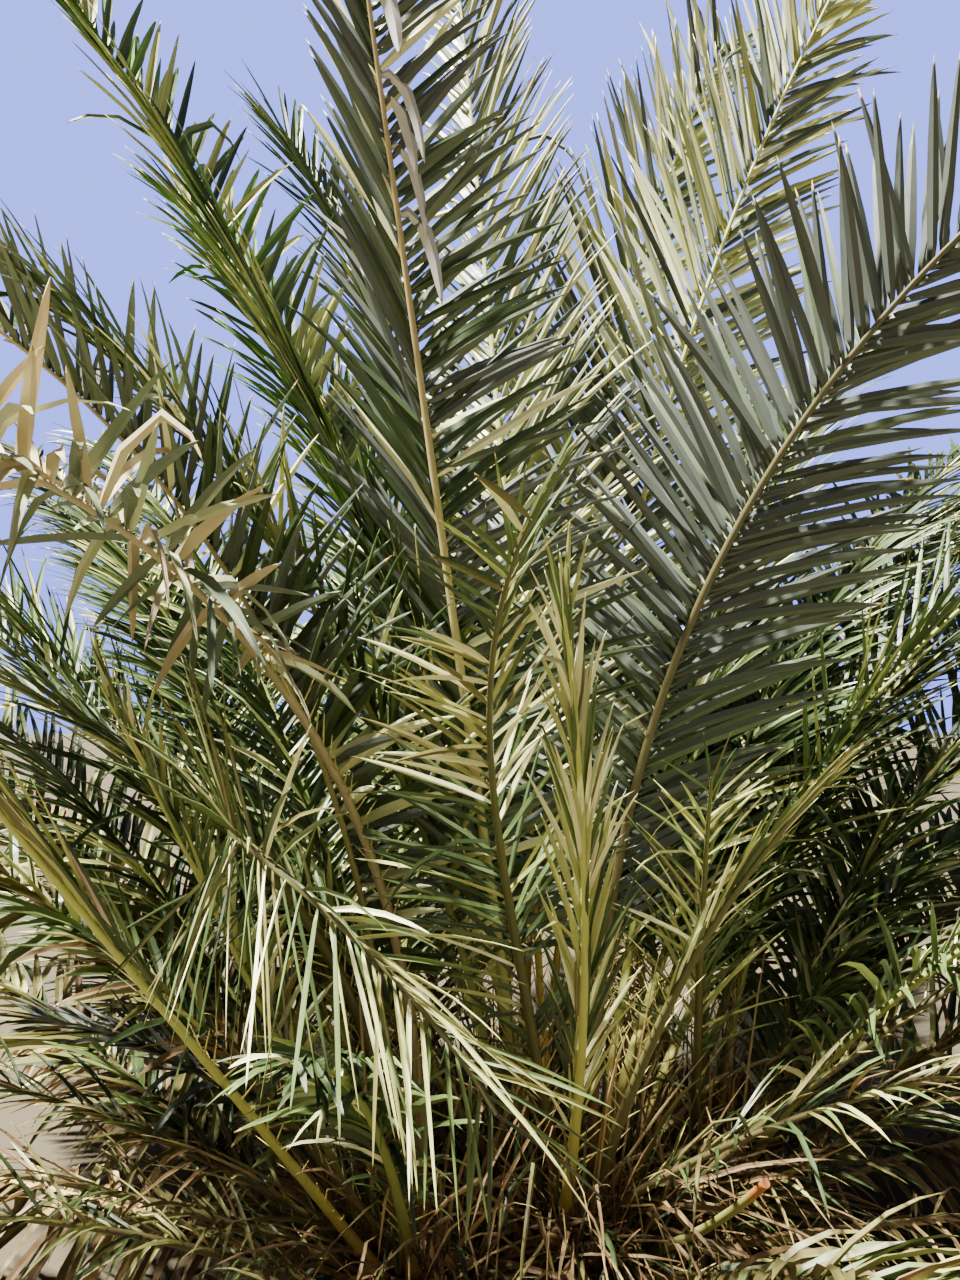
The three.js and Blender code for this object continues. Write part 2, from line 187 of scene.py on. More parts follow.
def link(made: bpy.types.Object) -> bpy.types.Object:
    """Puts a new object into the scene and gives it back."""
    bpy.context.scene.collection.objects.link(made)
    return made


def direction(heading: Any, rise: Any) -> np.ndarray:
    """Points unit vectors along headings and rises.

    Args:
        heading: Degrees about +Z.
        rise: Degrees above the level.

    Returns:
        A vector for each pair.
    """
    heading, rise = np.radians(heading), np.radians(rise)
    level = np.cos(rise)
    return np.stack([level * np.cos(heading), level * np.sin(heading), np.sin(rise) + 0 * level], -1)


def unit(vectors: np.ndarray) -> np.ndarray:
    """The vectors at length 1."""
    return vectors / np.maximum(np.linalg.norm(vectors, axis=-1, keepdims=True), 1e-12)


def smoothstep(x: np.ndarray, low: float, high: float) -> np.ndarray:
    """A soft step from 0 at low to 1 at high."""
    t = np.clip((x - low) / (high - low), 0, 1)
    return t * t * (3 - 2 * t)


@dataclass
class Surface:
    """Vertices and faces of many small shapes that become one mesh."""

    points: list[np.ndarray] = field(default_factory=list)
    faces: list[np.ndarray] = field(default_factory=list)
    finishes: list[np.ndarray] = field(default_factory=list)
    count: int = 0

    def add(
        self, points: np.ndarray, faces: list[np.ndarray], finishes: list[np.ndarray] | None = None
    ) -> None:
        """Takes in one batch of shapes.

        Args:
            points: Vertices, one row each.
            faces: Arrays of corner numbers, one array for each number of corners.
            finishes: The finish number of each face, in arrays like those of the faces; all 0 if left out.
        """
        self.points.append(points)
        self.faces.extend(f + self.count for f in faces)
        self.finishes.extend(finishes or [np.zeros(len(f), int) for f in faces])
        self.count += len(points)

    def mesh(self, name: str, lengthwise: int = 0) -> bpy.types.Object:
        """Makes the object.

        Args:
            name: The piece's name.
            lengthwise: Where not 0, edges between vertices whose numbers differ by it stay sharp.

        Returns:
            The linked object, at the origin.
        """
        data = bpy.data.meshes.new(name)
        points = np.concatenate(self.points)
        corners = np.concatenate([f.ravel() for f in self.faces])
        sizes = np.concatenate([np.full(len(f), f.shape[1]) for f in self.faces])
        data.vertices.add(len(points))
        data.vertices.foreach_set("co", points.astype(np.float32).ravel())
        data.loops.add(len(corners))
        data.loops.foreach_set("vertex_index", corners.astype(np.int32))
        data.polygons.add(len(sizes))
        starts = np.concatenate([[0], np.cumsum(sizes)[:-1]])
        data.polygons.foreach_set("loop_start", starts.astype(np.int32))
        data.polygons.foreach_set("material_index", np.concatenate(self.finishes).astype(np.int32))
        data.polygons.foreach_set("use_smooth", np.ones(len(sizes), bool))
        data.update(calc_edges=True)
        if lengthwise:
            ends = np.empty(len(data.edges) * 2, np.int32)
            data.edges.foreach_get("vertices", ends)
            sharp = np.abs(ends[::2] - ends[1::2]) == lengthwise
            data.attributes.new("sharp_edge", "BOOLEAN", "EDGE").data.foreach_set("value", sharp)
        data.validate()
        return link(bpy.data.objects.new(name, data))


@dataclass(frozen=True)
class Finish:
    """What all finishes share: a name, and a material that is built once."""

    name: str

    def dress(self, tree: Any, place: Any) -> dict[str, Any]:
        """Adds the nodes of the finish; each kind of finish has its own.

        Args:
            tree: The material's node tree.
            place: The socket that gives the piece's own coordinates.

        Returns:
            The shader's inputs by name.
        """
        raise NotImplementedError

    def material(self) -> bpy.types.Material:
        """Builds the material when it is first asked for.

        Returns:
            The one material of this finish.
        """
        made = bpy.data.materials.get(self.name)
        if made is None:
            made = bpy.data.materials.new(self.name)
            made.use_nodes = True
            tree = made.node_tree
            tree.nodes.clear()
            place = add_node(tree, "ShaderNodeTexCoord").outputs["Object"]
            shader = add_node(tree, "ShaderNodeBsdfPrincipled", inputs=self.dress(tree, place))
            add_node(tree, "ShaderNodeOutputMaterial", inputs={"Surface": shader})
        return made


@dataclass(frozen=True)
class LeafFinish(Finish):
    """Date palm leaflet: a leathery blade with a thin waxy bloom, so it shines softly and never mirrors.

    The base colour is plain, because each leaflet takes its own finish from the set of its frond.
    """

    colour: str
    roughness: float = 0.5
    bloom: float = 25 * MILLIMETRE
    veins: float = 4 * MILLIMETRE

    def dress(self, tree: Any, place: Any) -> dict[str, Any]:
        """Patchy bloom in the roughness and fine veins in the bump."""
        bloom = add_node(tree, NOISE, inputs={"Vector": place, "Scale": 1 / self.bloom, "Detail": 2.0})
        ends = {"To Min": self.roughness - 0.08, "To Max": self.roughness + 0.12}
        gloss = add_node(tree, RANGE, inputs={"Value": bloom, "From Min": 0.3, "From Max": 0.7, **ends})
        veins = add_node(tree, NOISE, inputs={"Vector": place, "Scale": 1 / self.veins, "Detail": 1.0})
        relief = {"Height": veins, "Strength": 0.15, "Distance": 0.3 * MILLIMETRE}
        return {
            "Base Color": linear(self.colour),
            "Roughness": gloss,
            "Normal": add_node(tree, BUMP, inputs=relief),
            "IOR": 1.45,
            "Specular IOR Level": 0.5,
        }


@dataclass(frozen=True)
class StalkFinish(Finish):
    """Rib and stalk: smooth waxy rind, ribbed along its length, browned and scurfy near the foot."""

    foot: str
    stalk: str
    blade: str
    roughness: float = 0.42
    stalk_from: float = 0.225  # share of the length from which it has its middle colour
    blade_from: float = 0.75  # and from which it has its last one
    foot_to: float = 0.05  # share up to which it has its first colour
    wander: float = 0.12  # how far the patches shift the colours
    patches: float = 30 * MILLIMETRE
    grain: float = 5 * MILLIMETRE

    def dress(self, tree: Any, place: Any) -> dict[str, Any]:
        """Colour that runs with the share of the frond's length, and a fine grain in the bump."""
        share = add_node(tree, "ShaderNodeAttribute", {"attribute_name": "rib_share"}).outputs["Fac"]
        patches = add_node(tree, NOISE, inputs={"Vector": place, "Scale": 1 / self.patches, "Detail": 4.0})
        at = add_node(tree, MATH, {"operation": "MULTIPLY_ADD"}, {0: patches, 1: self.wander, 2: share})
        ramp = add_node(tree, RAMP, inputs={"Fac": at})
        steps = ramp.color_ramp.elements
        steps[0].position, steps[0].color = self.foot_to, linear(self.foot)
        steps[1].position, steps[1].color = self.blade_from, linear(self.blade)
        steps.new(self.stalk_from).color = linear(self.stalk)
        grain = add_node(tree, NOISE, inputs={"Vector": place, "Scale": 1 / self.grain, "Detail": 3.0})
        relief = {"Height": grain, "Strength": 0.3, "Distance": 0.5 * MILLIMETRE}
        bump = add_node(tree, BUMP, inputs=relief)
        return {"Base Color": ramp, "Roughness": self.roughness, "Normal": bump}


@dataclass(frozen=True)
class FibreFinish(Finish):
    """Stem and sheath fibre: rough matt brown with dark and pale threads, darker in the hollows of the bump:
    partly its own dark threads, partly painted shade.
    """

    dark: str
    pale: str
    grain: float
    drawn: float = 0.25  # threads are drawn out upwards by the inverse of this

    def dress(self, tree: Any, place: Any) -> dict[str, Any]:
        """Threads drawn out upwards, in colour and in bump."""
        drawn = add_node(tree, "ShaderNodeMapping", inputs={"Vector": place, "Scale": (1, 1, self.drawn)})
        size = {"Scale": 1 / self.grain, "Detail": 6.0, "Roughness": 0.65}
        threads = add_node(tree, NOISE, inputs={"Vector": drawn, **size})
        # The noise that raises the bump also lightens the colour, so its hollows are dark: partly the
        # fibre's own dark threads, partly painted shade
        ramp = add_node(tree, RAMP, inputs={"Fac": threads})
        steps = ramp.color_ramp.elements
        steps[0].position, steps[0].color = 0.32, linear(self.dark)
        steps[1].position, steps[1].color = 0.68, linear(self.pale)
        relief = {"Height": threads, "Strength": 0.7, "Distance": 3 * MILLIMETRE}
        return {"Base Color": ramp, "Roughness": 0.85, "Normal": add_node(tree, BUMP, inputs=relief)}


# Leaflet finishes: the same blade in lighter and darker copies, partly its real tone by age and bloom and
# partly painted light: the bright, pale and lemon finishes carry painted sunlight and highlight, and the
# deep one painted shade
DEEP = LeafFinish("leaflet_deep_green", "#384826", 0.4)
MIDDLE = LeafFinish("leaflet_green", "#586b38", 0.44)
BLUISH = LeafFinish("leaflet_waxy_blue_green", "#606c53", 0.46)
SLATE = LeafFinish("leaflet_slate_green", "#565d53", 0.5)
BRIGHT = LeafFinish("leaflet_yellow_green", "#b0b46e", 0.38)
PALE = LeafFinish("leaflet_pale_grey_green", "#b2b78e", 0.42)
# A near-white lemon: a painted highlight, the glint of sun on the waxy blade put into the colour
LEMON = LeafFinish("leaflet_lemon_painted_highlight", "#f3f3b8", 0.36)
VIVID = LeafFinish("leaflet_vivid_green", "#628838", 0.42)
OLIVE = LeafFinish("leaflet_olive", "#706a3a", 0.5)
STRAW = LeafFinish("leaflet_dry_straw", "#ac9560", 0.55)
TAN = LeafFinish("leaflet_dry_tan", "#765f3c", 0.6)
BLEACHED = LeafFinish("leaflet_bleached_grey", "#cfccc2", 0.5)
SAND = LeafFinish("leaflet_dry_beige", "#c1ae88", 0.5)
SCORCHED = LeafFinish("leaflet_scorched_tip", "#b09458", 0.55)

# What a withered leaflet and the end of a scorched one have on any frond, and the deep green that paints
# shade on the lower blade of some fronds
AGED_AND_PAINTED_SHADE = (BLEACHED, SCORCHED, DEEP)
# The finishes of each kind of frond, with the share of its leaflets that take each. Beside real tone the
# sets carry painted light: the sunlit and pale sets are weighted to bright, pale and lemon leaflets as
# painted sunlight, the dark and grey sets to deep, slate and bluish ones as painted shade, and lemon
# leaflets in any set are painted glints
SETS: dict[Look, tuple[tuple[LeafFinish, float], ...]] = {
    Look.GREEN: ((DEEP, 0.34), (MIDDLE, 0.34), (BLUISH, 0.14), (BRIGHT, 0.1), (LEMON, 0.08)),
    Look.SUNLIT: ((BRIGHT, 0.36), (LEMON, 0.26), (MIDDLE, 0.2), (PALE, 0.12), (OLIVE, 0.06)),
    Look.PALE: ((PALE, 0.38), (LEMON, 0.14), (BRIGHT, 0.1), (BLUISH, 0.22), (SLATE, 0.16)),
    Look.DARK: ((DEEP, 0.4), (SLATE, 0.26), (BLUISH, 0.24), (LEMON, 0.1)),
    Look.RICH: ((VIVID, 0.34), (MIDDLE, 0.32), (BRIGHT, 0.2), (DEEP, 0.14)),
    Look.GREY: ((SLATE, 0.76), (BLUISH, 0.24)),
    Look.BEIGE: ((SAND, 0.6), (PALE, 0.22), (BLUISH, 0.18)),
    Look.OLIVE: ((OLIVE, 0.14), (MIDDLE, 0.36), (BRIGHT, 0.24), (LEMON, 0.16), (DEEP, 0.1)),
    Look.BROWNED: ((OLIVE, 0.36), (TAN, 0.2), (BRIGHT, 0.12), (MIDDLE, 0.2), (DEEP, 0.12)),
    Look.DRY: ((STRAW, 0.4), (TAN, 0.34), (OLIVE, 0.26)),
}
STALKS: dict[Look, StalkFinish] = {
    Look.GREEN: StalkFinish("rib_green", "#9c743f", "#8f944c", "#8e9c53"),
    Look.SUNLIT: StalkFinish("rib_yellow_green", "#b08847", "#b2b258", "#c4cb6a"),
    Look.PALE: StalkFinish("rib_pale_yellow", "#b27a3f", "#c4ad58", "#d3d87e"),
    Look.DARK: StalkFinish("rib_brown_above", "#9c743f", "#a9a760", "#b6a371"),
    Look.RICH: StalkFinish("rib_leaf_green", "#9c743f", "#94994e", "#a7b762"),
    Look.GREY: StalkFinish("rib_olive_brown", "#885d33", "#625a35", "#585333"),
    Look.BEIGE: StalkFinish("rib_grey_brown", "#956a3a", "#a38f60", "#b5a885"),
    Look.OLIVE: StalkFinish("rib_olive", "#59432a", "#57522c", "#5c5c34"),
    Look.BROWNED: StalkFinish("rib_browned", "#5e4428", "#5c5230", "#5e5636"),
    Look.DRY: StalkFinish("rib_dry", "#9d7443", "#bc9a60", "#d1b379", 0.6),
}
SPINE = StalkFinish("spine_yellow", "#cfc46e", "#cfc46e", "#b07e44", 0.4)
CUT_STALK = StalkFinish("cut_stalk_browned", "#76743a", "#888842", "#b06a35", 0.6, 0.93, 1.0)
BARK = FibreFinish("stem_leaf_base_bark", "#4d3824", "#9f7e52", 14 * MILLIMETRE)
SHEATH = FibreFinish("sheath_fibre", "#744c28", "#cf9452", 6 * MILLIMETRE)


@dataclass(frozen=True)
class Stem:
    """One short stem: where it stands, its size and its lean."""

    x: float
    y: float
    radius: float
    height: float
    lean: float
    lean_heading: float

    def middle(self, z: Any) -> np.ndarray:
        """Finds the middle of the stem.

        Args:
            z: One height or many.

        Returns:
            The point, or one for each height.
        """
        shift = np.asarray(z) * math.tan(math.radians(self.lean))
        at = math.radians(self.lean_heading)
        return np.stack([self.x + shift * math.cos(at), self.y + shift * math.sin(at), z + 0 * shift], -1)

    def radius_at(self, shares: np.ndarray) -> np.ndarray:
        """Radius at shares of the height."""
        return self.radius * np.interp(shares, *zip(*STEM_PROFILE))


STEMS: dict[str, Stem] = {
    "main": Stem(0, 0, 0.180, 0.270, 4, 200),
    "left": Stem(-0.348, -0.124, 0.150, 0.230, 9, 195),
    "right": Stem(0.298, 0.206, 0.145, 0.210, 9, 20),
    "back": Stem(-0.128, 0.339, 0.145, 0.220, 7, 100),
}
# Share of the height and of the radius, from the root flare up to the bud
STEM_PROFILE = ((0, 1.16), (0.12, 1.07), (0.35, 1.0), (0.62, 0.93), (0.84, 0.72), (0.97, 0.4))


@dataclass
class Frond:
    """One feather frond: the course of its rib and how its leaflets stand."""

    heading: float
    rise: float
    arch: float = 0
    sway: float = 0
    length: float = 2.5
    seat: float | None = None
    roll: float = 0
    bare: float = 0.2
    open: float = 48
    skew: float = 0  # share by which the left row stands wider, and the right row closer
    span: float = 1.0  # length of the leaflets against the rule
    fold: float = 20
    droop: float = 0.12
    look: Look = Look.GREEN
    width: float = 1.0  # leaflets against the usual width
    limp: float = 0.01  # share of leaflets that hang from a broken base
    ragged: float = 1.0  # how far leaflets stray from the rule
    missing: float = 0.02  # share of leaflets that are gone
    # Painted shade: on this share of the blade from its foot most leaflets take the deep green finish
    shaded: float = 0.0  # share of the blade, from its foot, where leaflets are sparse and dark
    withered: tuple[float, float] = (0.0, 0.0)  # stretch of the blade where some leaflets hang bleached
    stem: str = ""
    name: str = ""
    start: np.ndarray | None = None  # the foot of the frond that this one is a twin of
    path: np.ndarray = field(default_factory=lambda: np.zeros((0, 3)))

    def lay(self, stem: str, start: np.ndarray | None = None) -> "Frond":
        """Gives the frond its stem and works out the middle line of its rib.

        Args:
            stem: The stem's name.
            start: The foot of its host, where it is a twin.

        Returns:
            The same frond.
        """
        self.stem, self.start = stem, start
        if self.seat is None:
            self.seat = self.heading
        shares = (np.arange(RIB_STEPS) + 0.5) / RIB_STEPS
        steps = direction(*self.course(shares)) * self.length / RIB_STEPS
        self.path = np.concatenate([[self.foot()], self.foot() + np.cumsum(steps, 0)])
        return self

    def foot(self) -> np.ndarray:
        """Finds where the frond starts on its stem.

        Returns:
            The point: lower and further out the flatter the frond stands, or the host's foot.
        """
        if self.start is not None:
            return self.start
        stem = STEMS[self.stem]
        level = max(0.0, math.cos(math.radians(self.rise))) ** SEAT_POWER
        out = stem.radius * (SEAT_CORE + (1 - SEAT_CORE) * level)
        z = stem.height * (SEAT_LOW + SEAT_SPAN * math.sin(math.radians(self.rise)) ** 2)
        return stem.middle(z) + out * direction(self.seat, 0)

    def course(self, shares: np.ndarray) -> tuple[np.ndarray, np.ndarray]:
        """Heading and rise of the rib at shares of its length."""
        bend = np.maximum(shares, 0) ** BEND_POWER
        return self.heading + self.sway * bend, self.rise - self.arch * bend

    def stations(self, shares: np.ndarray) -> tuple[np.ndarray, ...]:
        """Directions and places of the rib.

        Args:
            shares: Shares of the length, below 0 for the foot that is sunk in the stem.

        Returns:
            Vectors along the rib, to its left and out of its upper face, and its middle.
        """
        heading, rise = self.course(shares)
        along = direction(heading, rise)
        level_side = direction(heading + 90, 0 * heading)
        level_up = np.cross(along, level_side)
        turn = np.radians(self.roll * smoothstep(shares, 0, self.bare + ROLL_PAST))[:, None]
        side = level_side * np.cos(turn) + level_up * np.sin(turn)
        up = level_up * np.cos(turn) - level_side * np.sin(turn)
        at = np.clip(shares, 0, 1) * RIB_STEPS
        low = np.minimum(at.astype(int), RIB_STEPS - 1)
        middle = self.path[low] + (self.path[low + 1] - self.path[low]) * (at - low)[:, None]
        return along, side, up, middle + along * np.minimum(shares, 0)[:, None] * self.length

    def rib_width(self, shares: np.ndarray) -> np.ndarray:
        """Works out the width of the rib, which narrows fast above the foot and then evenly.

        Args:
            shares: Shares of the length.

        Returns:
            The width at each.
        """
        up_stalk = (np.clip(shares, 0, None) / self.bare) ** STALK_TAPER
        stalk = FOOT_WIDTH + (BLADE_WIDTH - FOOT_WIDTH) * up_stalk
        if self.bare >= 1:
            return stalk
        blade = BLADE_WIDTH + (TIP_WIDTH - BLADE_WIDTH) * (shares - self.bare) / (1 - self.bare)
        return np.where(shares <= self.bare, stalk, blade)

    def clear_of(self, others: list["Frond"]) -> bool:
        """Tells whether the rib keeps clear of others.

        Args:
            others: The fronds laid before it.

        Returns:
            True if it comes too near to none of them.
        """
        for other in others:
            gaps = self.path[:, None] - other.path[None]
            if (gaps**2).sum(-1).min() < RIB_CLEAR**2:
                return False
        return True


# Traits of dry fronds, of old ones, and of the twins that fill the crown
DRY = {"open": 60, "fold": -5, "droop": 0.7, "look": Look.DRY, "ragged": 1.8, "width": 1.3}
OLD = {"look": Look.BROWNED, "ragged": 1.6, "limp": 0.12, "width": 1.25}
TWIN = {"droop": 0.25}
OLD_TWIN = {**OLD, **TWIN}
FRONT_TWIN = {**OLD_TWIN, "width": 0.55, "missing": 0.35}

# Fronds that stand out, in the order of their numbers on each stem
# Some fronds have painted shade on the lower part of the blade, where their leaflets take the deep green
# finish
OUTSTANDING: dict[str, list[Frond]] = {
    "main": [
        Frond(200, 80, 29, -10, 3.05, seat=165, roll=-30, skew=-0.4, width=1.3, look=Look.RICH),
        Frond(230, 78, 2, 8, 3.0, seat=200, roll=35, skew=0.45, width=1.3,
              withered=(0.66, 0.9), look=Look.DARK),
        Frond(155, 86, 2, 0, 3.15, seat=120, roll=70, span=1.15, width=1.15, look=Look.PALE),
        Frond(330, 89, 69, -10, 2.95, seat=330, roll=-60, open=56, skew=-0.1,
              span=1.15, width=1.5, limp=0.0, look=Look.GREY),
        Frond(237, 75, 46, 50, 1.8, seat=252, roll=30, open=55, width=0.75,
              ragged=1.8, missing=0.12, shaded=0.5, look=Look.OLIVE),
        Frond(276, 61, -2, -25, 1.55, seat=256, open=12, width=0.65, ragged=1.2,
              shaded=0.45, look=Look.SUNLIT),
        Frond(303, 68, 23, 6, 1.25, seat=284, bare=0.5, open=10, width=0.6, ragged=0.5, look=Look.OLIVE),
        Frond(345, 45, 38, 0, 2.9, seat=345, bare=0.27, droop=0.3, width=0.42,
              missing=0.6, look=Look.OLIVE),
        Frond(352, 12, 8, 0, 1.9, seat=0, **{**DRY, "width": 0.55}),
        Frond(190, 60, 36, 0, 1.9, seat=182),
    ],
    "left": [
        Frond(195, 88, 73, 0, 2.9, seat=150, open=68, fold=35, width=1.4, look=Look.DARK),
        Frond(215, 90, 104, -5, 2.7, seat=300, bare=0.5, open=85, width=1.5,
              ragged=2.2, limp=0.4, look=Look.BEIGE),
        Frond(205, 66, 3, 2, 1.4, seat=205, look=Look.SUNLIT),
        Frond(225, 53, 0, -10, 2.5, seat=238, bare=0.3, open=13, width=0.75, shaded=0.2, look=Look.SUNLIT),
        Frond(200, 58, 50, -15, 0.95, seat=168, look=Look.GREY),
        Frond(180, 20, 25, 0, 1.7, seat=180, **DRY),
        Frond(172, 66, 48, 0, 2.4, seat=140),
        Frond(262, 60, 42, 0, 1.15, seat=268, open=30, droop=0.35, ragged=2.0),
        Frond(195, 88, 149, 168, 2.07, seat=217, roll=90, bare=0.4, open=60,
              droop=0.2, width=0.48, ragged=1.4, missing=0.15, shaded=0.3, look=Look.OLIVE),
    ],
    "back": [
        Frond(170, 83, 31, 0, 3.0, seat=150, roll=-30, skew=0.3, width=1.3, look=Look.RICH),
        Frond(165, 90, 32, 10, 3.05, seat=240, roll=-30, width=1.2),
        Frond(355, 84, 21, 0, 3.35, seat=330, roll=-70, span=1.3, width=1.2, look=Look.PALE),
        Frond(10, 89, 24, -10, 3.3, seat=60, roll=-60, span=1.25, width=1.15, look=Look.PALE),
        Frond(185, 53, 16, -2, 3.0, seat=195),
    ],
    "right": [
        Frond(345, 85, 93, 0, 2.8, seat=345),
        Frond(262, 72, 25, 0, 1.25, seat=262, width=0.6, ragged=2.4, missing=0.3, look=Look.OLIVE),
        Frond(312, 58, 52, 0, 2.1, seat=312, droop=0.35),
    ],
}


@dataclass(frozen=True)
class Ring:
    """A ring of fronds that fills the crown: each turns on from the one before it."""

    count: int
    heading: float
    turn: float
    pattern: Frond


RINGS: dict[str, list[Ring]] = {
    "main": [
        Ring(3, 35, 45, Frond(0, 80, 42, length=2.7)),
        Ring(3, 15, 60, Frond(0, 62, 52, length=2.6)),
        Ring(1, 305, 0, Frond(0, 27, 16, length=1.35, droop=0.4, **OLD)),
    ],
    "left": [
        Ring(2, 100, 45, Frond(0, 72, 58, length=2.6)),
        Ring(4, 105, 30, Frond(0, 46, 48, length=2.3, **OLD)),
        Ring(2, 145, 75, Frond(0, 18, 20, length=1.5, bare=0.25, **DRY)),
        Ring(1, 245, 0, Frond(0, 28, 24, length=1.15, droop=0.4, **OLD)),
    ],
    "back": [
        Ring(4, 20, 36, Frond(0, 70, 52, length=2.7)),
        Ring(3, 55, 40, Frond(0, 46, 46, length=2.5, **OLD)),
        Ring(2, 70, 50, Frond(0, 18, 18, length=1.5, bare=0.25, **DRY)),
    ],
    "right": [
        Ring(2, 60, 90, Frond(0, 82, 44, length=2.7)),
        Ring(4, 325, 38, Frond(0, 66, 54, length=2.7)),
        Ring(3, 350, 36, Frond(0, 42, 46, length=2.5, **OLD)),
        Ring(2, 5, 50, Frond(0, 16, 16, length=1.5, bare=0.25, **DRY)),
    ],
}

# Twin fronds, by the frond that each shares its foot with
TWINS: dict[str, Frond] = {
    "main_frond_04": Frond(30, 68, 42, 0, 2.7, **TWIN),
    "main_frond_07": Frond(325, 40, 25, 0, 1.2, **FRONT_TWIN),
    "main_frond_09": Frond(0, 32, 20, 0, 1.2, **FRONT_TWIN),
    "main_frond_10": Frond(200, 80, 50, 0, 2.7, **TWIN),
    "main_frond_11": Frond(35, 60, 37, 0, 2.7, **TWIN),
    "left_frond_01": Frond(145, 68, 42, 0, 2.7, **TWIN),
    "left_frond_03": Frond(195, 36, 22, 0, 1.2, **FRONT_TWIN),
    "left_frond_04": Frond(205, 32, 20, 0, 1.2, **FRONT_TWIN),
    "left_frond_05": Frond(160, 56, 35, 0, 2.1, **TWIN),
    "left_frond_06": Frond(140, 40, 25, 0, 2.1, **OLD_TWIN),
    "left_frond_07": Frond(140, 64, 40, 0, 2.7, **TWIN),
    "left_frond_08": Frond(190, 54, 33, 0, 1.8, **OLD_TWIN),
    "left_frond_10": Frond(140, 72, 45, 0, 2.7, **TWIN),
    "left_frond_11": Frond(145, 24, 15, 0, 2.1, **TWIN),
    "left_frond_12": Frond(140, 64, 40, 0, 2.7, **TWIN),
    "left_frond_13": Frond(165, 52, 32, 0, 2.1, **OLD_TWIN),
    "left_frond_14": Frond(160, 36, 22, 0, 1.6, **OLD_TWIN),
    "left_frond_15": Frond(215, 36, 22, 0, 1.2, **FRONT_TWIN),
    "right_frond_03": Frond(10, 68, 42, 0, 1.2, **TWIN),
    "right_frond_07": Frond(35, 64, 40, 0, 2.7, **TWIN),
    "right_frond_08": Frond(30, 52, 32, 0, 1.6, **TWIN),
    "right_frond_09": Frond(35, 60, 37, 0, 1.6, **TWIN),
    "right_frond_11": Frond(25, 16, 10, 0, 1.2, **OLD_TWIN),
}

# An old frond cut short by hand: only the stump of its stalk is left
CUT_STUMP = Frond(290, 33, -15, 12, 0.56, seat=335, bare=1.0, name="cut_stump")


def lay_fronds() -> list[Frond]:
    """Lays all fronds: those that stand out, the cut one, the rings turned clear of them, the twins.

    Returns:
        The fronds, named and laid.
    """
    fronds: list[Frond] = []
    count = dict.fromkeys(STEMS, 0)

    def keep(frond: Frond) -> None:
        """Numbers a frond on its stem."""
        count[frond.stem] += 1
        frond.name = f"{frond.stem}_frond_{count[frond.stem]:02d}"
        fronds.append(frond)

    for stem, rows in OUTSTANDING.items():
        for row in rows:
            keep(row.lay(stem))
    fronds.append(CUT_STUMP.lay("main"))
    for stem, rings in RINGS.items():
        for ring in rings:
            for i in range(ring.count):
                for k in range(TURN_TRIES):
                    aside = TURN_ASIDE * math.ceil(k / 2) * (1 if k % 2 else -1)
                    frond = replace(ring.pattern, heading=ring.heading + ring.turn * i + aside)
                    if frond.lay(stem).clear_of(fronds):
                        keep(frond)
                        break
    hosts = {frond.name: frond for frond in fronds}
    for name, twin in TWINS.items():
        twin.name = name
        fronds.append(twin.lay(hosts[name].stem, hosts[name].path[0]))
    return fronds


# Stations of a leaflet: share of its length, width against the widest, and how far its margins fold up
LEAFLET_STATIONS = np.array([
    (0.0, 0.38, 1.2), (0.08, 0.78, 1.0), (0.3, 1.0, 0.65),
    (0.6, 0.84, 0.45), (0.82, 0.54, 0.4), (0.94, 0.24, 0.3),
])
LEAFLET_SIDES = 4
LEAFLET_POINTS = LEAFLET_SIDES * len(LEAFLET_STATIONS) + 1


